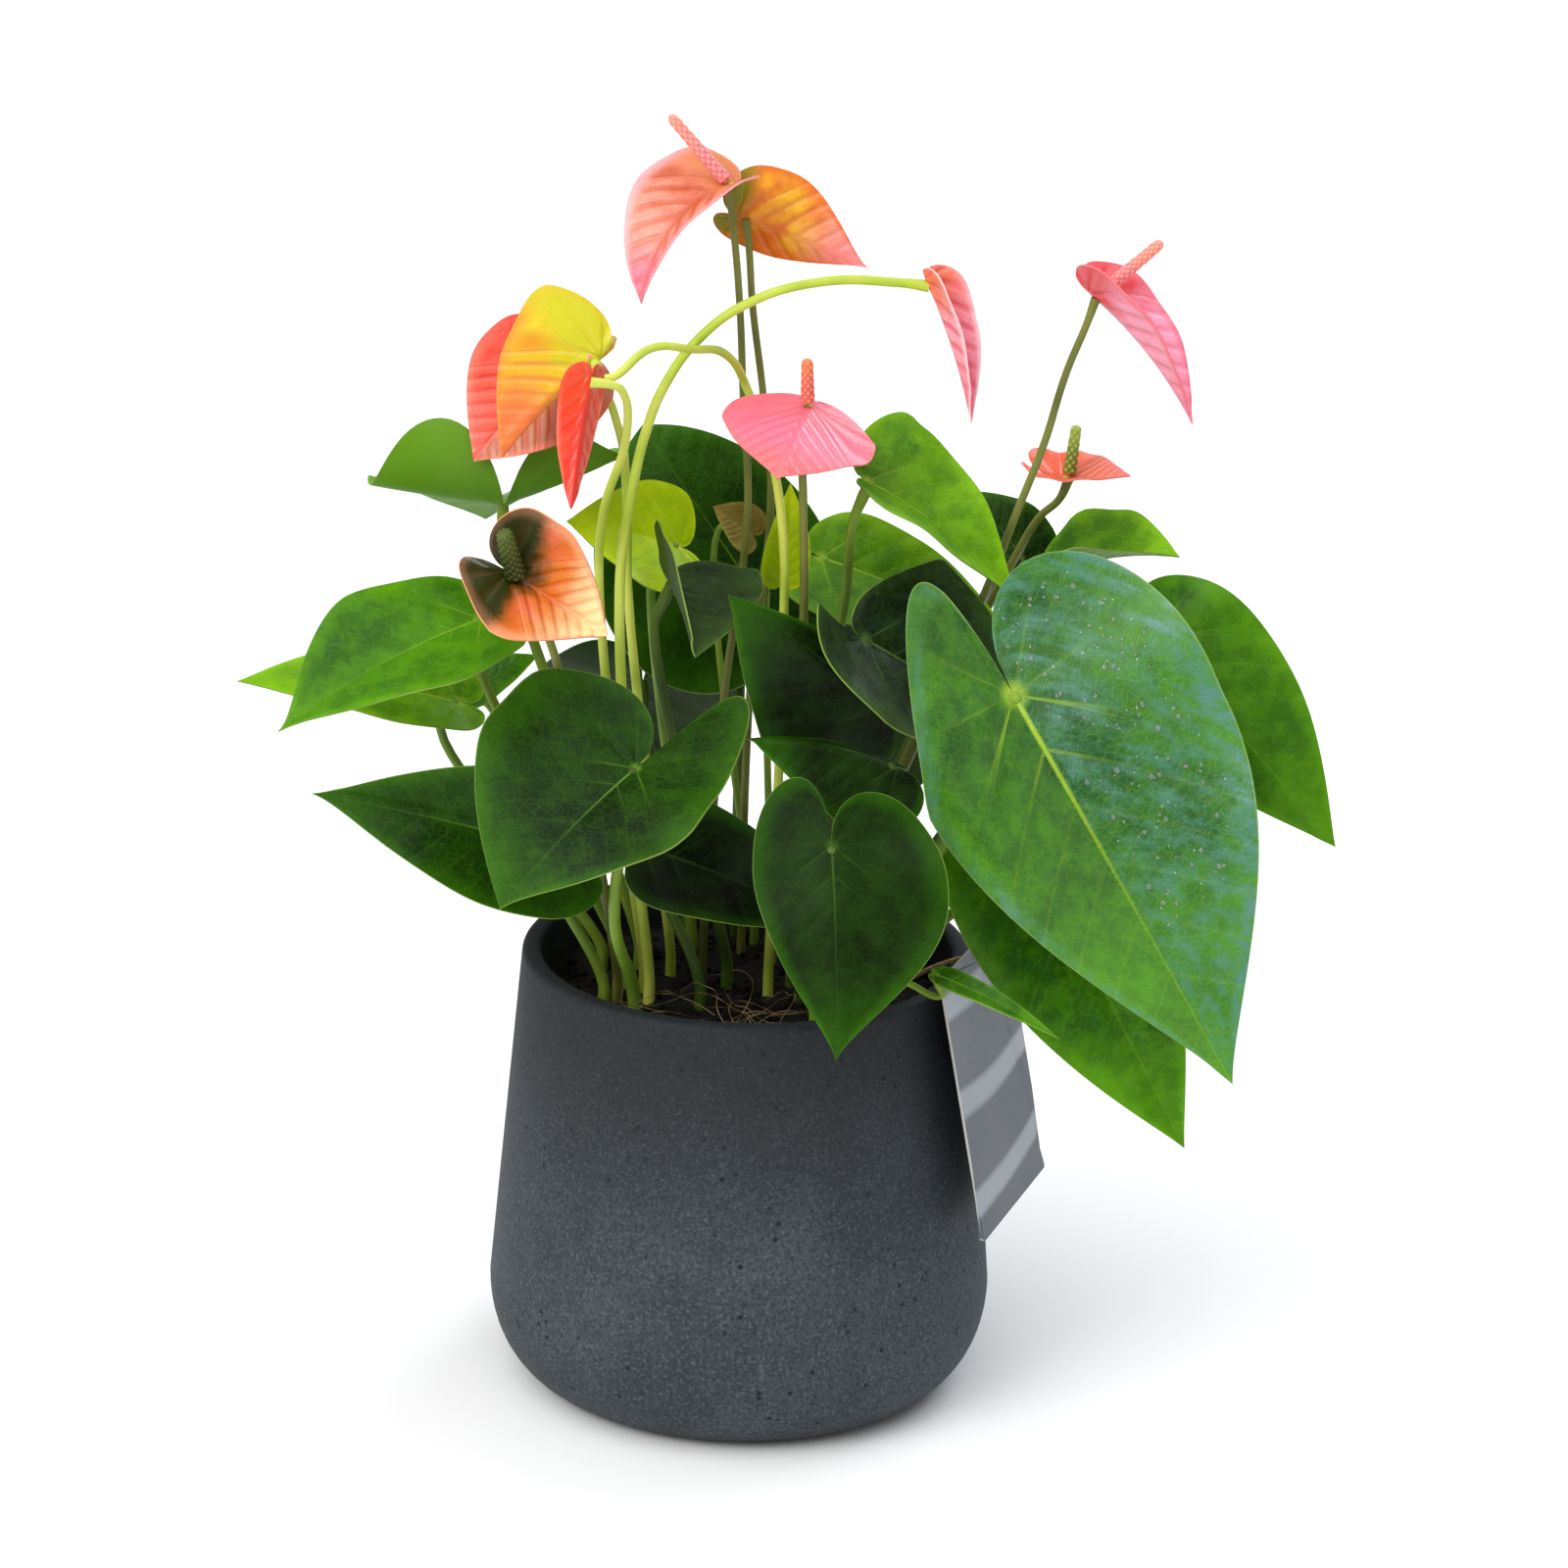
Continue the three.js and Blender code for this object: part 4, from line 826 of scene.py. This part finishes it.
pale_pink = spathe_finish(
    "spathe_pink", "pale pink spathe", (214, 122, 64), (232, 142, 120), (238, 120, 140), (244, 170, 176),
    (190, 76, 20), (226, 116, 84), turn=0.45, patch=(196, 80, 22), veining=0.75)
flower("top", pale_pink, rose, (-14, 6), (-9, 0, 386), (-36, -20, 353),
       ((-9, 12, 220), (-3, 6, 283), (-5, 4, 317), (-7, 2, 351)), (-29, 0, 406), 2.1, stem=1.3,
       faces=(-0.6, -0.4, 0.7), half=(14, 21), lobe=6, fold=(14, 24), arch=75)
flame = spathe_finish(
    "spathe_orange", "orange spathe", (128, 130, 6), (224, 102, 2), (246, 136, 142), (220, 100, 8),
    (190, 62, 2), (226, 108, 2), veining=0.35, turn=0.46, patch=(246, 186, 6), start=-0.12)
flower("orange", flame, olive, (-2, 26), (-8, 8, 374), (32, 4, 360),
       ((-1, 24, 220), (4, 14, 287), (1, 12, 317), (-3, 9, 347)), (-5, 17, 385), 1.9, stem=1.3,
       arrive=(-0.15, 0.25, 1), faces=(0.1, 0.95, 0.1), half=(10, 18), lobe=8, widest=(0.2, 0.22), fold=15,
       arch=12, full=0)
blush = spathe_finish(
    "spathe_pink", "light pink spathe", (236, 110, 80), (246, 150, 168), (240, 124, 142), (252, 206, 210),
    (226, 70, 96), (248, 160, 172), veining=0.7)
flower("hanging", blush, coral, (-30, -20), (49, -12, 361), (64, -20, 319), ((-41, -20, 264), (-38, -20, 293),
       (-34, -20, 313), (-28, -20, 329), (-18, -19, 343), (-5, -18, 353), (17, -16, 360)), (58, -16, 344),
       1.2, stem=1.7, arrive=(1, 0, -0.1), green=stem_young, faces=(0.8, -0.5, 0.4), half=10, lobe=4,
       fold=(55, 55), arch=16)
salmon = spathe_finish(
    "spathe_pink", "salmon pink spathe", (240, 110, 126), (250, 118, 146), (242, 110, 110), (240, 116, 124),
    (232, 84, 104), (246, 130, 140), veining=0.4)
flower("centre", salmon, coral, (14, -4), (15, -15, 322), (6, -52, 309),
       ((15, -14, 235), (15, -13, 262), (14, -10, 290)), (14, -18, 337), 2.2, faces=(0, -0.4, 0.9), half=25,
       lobe=8, fold=(-26, -10), arch=30)
# The cup's dark olive notch is partly its own green base and partly painted shade beside the spadix.
peach = spathe_finish(
    "spathe_orange", "peach spathe", (44, 50, 4), (226, 122, 36), (252, 224, 164), (248, 166, 122),
    (214, 82, 24), (236, 130, 70), veining=0.5, turn=0.36, patch=(240, 112, 84), start=0.06)
flower("cup", peach, dark_olive, (-40, -16), (-73, -48, 277), (-43, -58, 261),
       ((-56, -33, 230), (-61, -38, 252)), (-74, -60, 293), 3.2, arrive=(-0.2, -1, 0.5),
       faces=(-0.1, -1, 0.05), half=(24, 22), lobe=(12, 16), gather=(1.2, 0.5), fold=(10, 56), arch=-10,
       cup=0.2)
lemon = spathe_finish(
    "spathe_yellow", "yellow spathe", (206, 200, 16), (240, 196, 20), (240, 120, 54), (240, 150, 50),
    (214, 112, 14), (240, 184, 20), veining=0.6, turn=0.3, patch=(242, 214, 34))
flower("yellow", lemon, rose, (7, -15), (-47, -34, 340), (-76, -42, 311), ((9, -14, 250), (8, -11, 280),
       (4, -4, 302), (-3, -2, 321), (-10, -13, 336), (-21, -30, 342), (-32, -38, 344)), (-58, -28, 346), 1.8,
       green=stem_young, faces=(-0.4, 0.85, 0.35), half=(26, 29), lobe=(10, 8), widest=(0.06, 0.18),
       fold=(40, 55), arch=20)
scarlet = spathe_finish(
    "spathe_red", "red spathe", (220, 60, 30), (238, 84, 62), (242, 110, 96), (240, 120, 96), (206, 40, 22),
    (236, 90, 60), left=(188, 112, 80))
flower("red", scarlet, coral, (-24, 4), (-61, 1, 328), (-86, -13, 301), ((-39, -2, 257), (-40, 0, 287),
       (-43, 2, 309), (-50, 1, 323)), (-66, -8, 341), 1.8, arrive=(-0.8, -0.5, 0.3), green=stem_young,
       faces=(-0.3, -0.9, 0.3), half=23, lobe=10, fold=(8, 8), arch=30)
crimson = spathe_finish(
    "spathe_red", "red bud spathe", (214, 60, 14), (212, 28, 8), (226, 54, 32), (240, 110, 84), (190, 26, 14),
    (232, 56, 30), patch=(240, 96, 60))
flower("bud", crimson, coral, (-32, -9), (-49, -58, 341), (-54, -70, 303), ((-47, -15, 256), (-46, -28, 290),
       (-39, -42, 318), (-40, -54, 335)), (-51, -58, 322), 1.3, arrive=(-0.9, -0.3, 0.2), green=stem_young,
       faces=(-0.15, 0.9, 0.3), half=10, lobe=4, fold=(50, 50), arch=16)
candy = spathe_finish(
    "spathe_pink", "pink spathe with a red hem", (226, 76, 84), (252, 162, 190), (248, 148, 172),
    (240, 110, 120), (236, 106, 130), (252, 160, 186))
flower("right", candy, rose, (26, 12), (99, 5, 354), (131, -10, 318), ((58, 16, 222), (72, 9, 260),
       (80, 6, 285), (87, 5, 306), (93, 5, 329)), (120, 2, 371), 2.2, stem=1.4, arrive=(0.3, 0, 1),
       faces=(0.75, -0.15, 0.65), half=16, lobe=9, fold=(38, 38), arch=24)
tangerine = spathe_finish(
    "spathe_orange", "small orange spathe", (226, 84, 40), (240, 130, 100), (236, 130, 120), (238, 120, 110),
    (206, 70, 40), (238, 120, 90))
flower("small", tangerine, olive, (28, 26), (94, 26, 290), (115, 20, 293), ((60, 40, 218), (71, 41, 238),
       (81, 38, 260), (88, 33, 275)), (98, 26, 307), 2.1, arrive=(0.35, -0.3, 1), faces=(0, -0.1, 1), half=13,
       lobe=14, fold=(15, 15), lift=25, arch=-10)

# Card: a stiff printed card that hangs beside the pot, punched once near its top edge. Its print is
# a plain slate ground with a few soft pale bands, and its edges show the grey board.
card_down = Vector((0.19, 0, -1)).normalized()
card_across = Vector((0.33, 0.944, 0)).normalized()
card_out = card_across.cross(card_down).normalized()
card_corner = Vector((60, -50, 151))
card_width, card_height, card_thickness, corner_radius = 64, 88, 0.8, 1.2
hole_x, hole_y, hole_radius = 42, 7, 2.2


def on_card(x, y, depth):
    return card_corner + card_across * x + card_down * y + card_out * depth


def to_side(way, ahead, behind):
    """How far a line from the hole runs before it meets the card's side."""
    return (ahead if way > 0 else -behind) / way if abs(way) > 1e-6 else 1e6


corners = ((0, 0), (card_width, 0), (0, card_height), (card_width, card_height))
bm = bmesh.new()
punched = bmesh.ops.create_circle(bm, segments=48, radius=hole_radius)["verts"]
bmesh.ops.translate(bm, verts=punched, vec=(hole_x, hole_y, 0))
trimmed = bmesh.ops.create_circle(bm, segments=48, radius=hole_radius)["verts"]
for vert in trimmed:
    way = Vector((vert.co.x, vert.co.y)) / hole_radius
    reach = min(to_side(way.x, card_width - hole_x, hole_x), to_side(way.y, card_height - hole_y, hole_y))
    vert.co = Vector((hole_x + way.x * reach, hole_y + way.y * reach, 0))
for corner in corners:
    nearest = min(trimmed, key=lambda vert: (vert.co.x - corner[0]) ** 2 + (vert.co.y - corner[1]) ** 2)
    nearest.co = Vector((corner[0], corner[1], 0))
bmesh.ops.bridge_loops(bm, edges=bm.edges[:])
bmesh.ops.bevel(bm, geom=[v for v in bm.verts if (round(v.co.x, 3), round(v.co.y, 3)) in corners],
                affect="VERTICES", offset=corner_radius, segments=4, profile=0.5, material=-1)
bmesh.ops.recalc_face_normals(bm, faces=bm.faces)
if bm.faces[:][0].normal.z < 0:
    bmesh.ops.reverse_faces(bm, faces=bm.faces)
bmesh.ops.solidify(bm, geom=bm.faces[:], thickness=card_thickness)
low = min(vert.co.z for vert in bm.verts)
for vert in bm.verts:
    vert.co = on_card(vert.co.x, vert.co.y, vert.co.z - low) * MM
bm.normal_update()
for face in bm.faces:
    face.material_index = 0 if abs(face.normal.dot(card_out)) > 0.7 else 1

printed, shader, place = new_material("card print", Specular_IOR_Level=0.35, Coat_Weight=0.1)
paper = mottling(place, 1600, 3)
wash = mottling(place, 30)
bands = node(shader.id_data, "TexWave", {"wave_type": "BANDS", "bands_direction": "Z"}, Vector=place,
             Scale=10, Distortion=3.5, Detail=1, Detail_Scale=0.6).outputs[1]
tone = mix(fade(wash, 0.3, 0.7), (40, 48, 58), (62, 72, 84))
tone = mix(fade(bands, 0.72, 0.95, 0, 0.6), tone, (170, 178, 186))
tone = mix(times(paper, 0.12), tone, (220, 222, 224))
dress(shader, Base_Color=tone, Roughness=fade(wash, 0.3, 0.7, 0.45, 0.6), Normal=bumps(paper, 0.2, 0.0002))
board, shader, place = new_material("card board", Roughness=0.85, Specular_IOR_Level=0.2)
dress(shader, Base_Color=mix(mottling(place, 2200, 3), (150, 150, 146), (206, 204, 196)))
finish_piece("hanging_card", bm, [printed, board], "card", "card", smooth=False)

# Raffia: three dry strips laid together, looped round the big leaf's stalk, led over the rim and
# through the card, and tied behind it in a knot with two short ends.
straw, shader, place = new_material("raffia", Specular_IOR_Level=0.3)
streak = mottling(place, 900, 3)
dress(shader, Base_Color=mix(fade(streak, 0.3, 0.7), (176, 136, 84), (226, 198, 146)),
      Roughness=fade(streak, 0.3, 0.7, 0.5, 0.75), Normal=bumps(streak, 0.5, 0.0002))
tied_at = Vector((38, -18, 131))
crest = Vector((66, -12.5, 143.9))
to_rim = Vector((crest.x - tied_at.x, crest.y - tied_at.y, 0)).normalized()
hole = on_card(hole_x, hole_y, 0)
knot = on_card(hole_x, hole_y, -3)
paths = []
for k in range(3):
    turn = tau * k / 3
    shift = Vector((0, cos(turn), sin(turn))) * 0.42
    loop_radius = 3.4 + 0.25 * k
    paths.append([tuple(tied_at + Vector((
        cos(a) * loop_radius, sin(a) * loop_radius, 0.5 * k + 0.3 * sin(2 * a))))
        for a in [tau * step / 9 + 0.2 for step in range(10)]])
    midway = tied_at.lerp(crest, 0.5) + Vector((0, 0, 1))
    paths.append([tuple(spot) for spot in (
        tied_at + to_rim * 3.6 + shift, midway + shift, crest + shift,
        on_card(hole_x, hole_y, 3.5) + shift, hole + shift * 0.6, knot + shift * 1.5)])
for k in range(4):
    paths.append([tuple(knot + Vector((1.5 * cos(a) * cos(k), 1.7 * sin(a),
                                       1.6 * cos(a) * sin(k) + 0.3 * k - 0.5)))
                  for a in [tau * step / 8 for step in range(9)]])
for bent, end in (((2, -3, -3), (2.6, -5, -9)), ((2.2, 2, -4), (2, 3, -11))):
    paths.append([tuple(knot), tuple(knot + Vector(bent)), tuple(knot + Vector(end))])
strands("raffia_tie", paths, 0.5, straw, "raffia", "raffia", steps=6, sides=2)
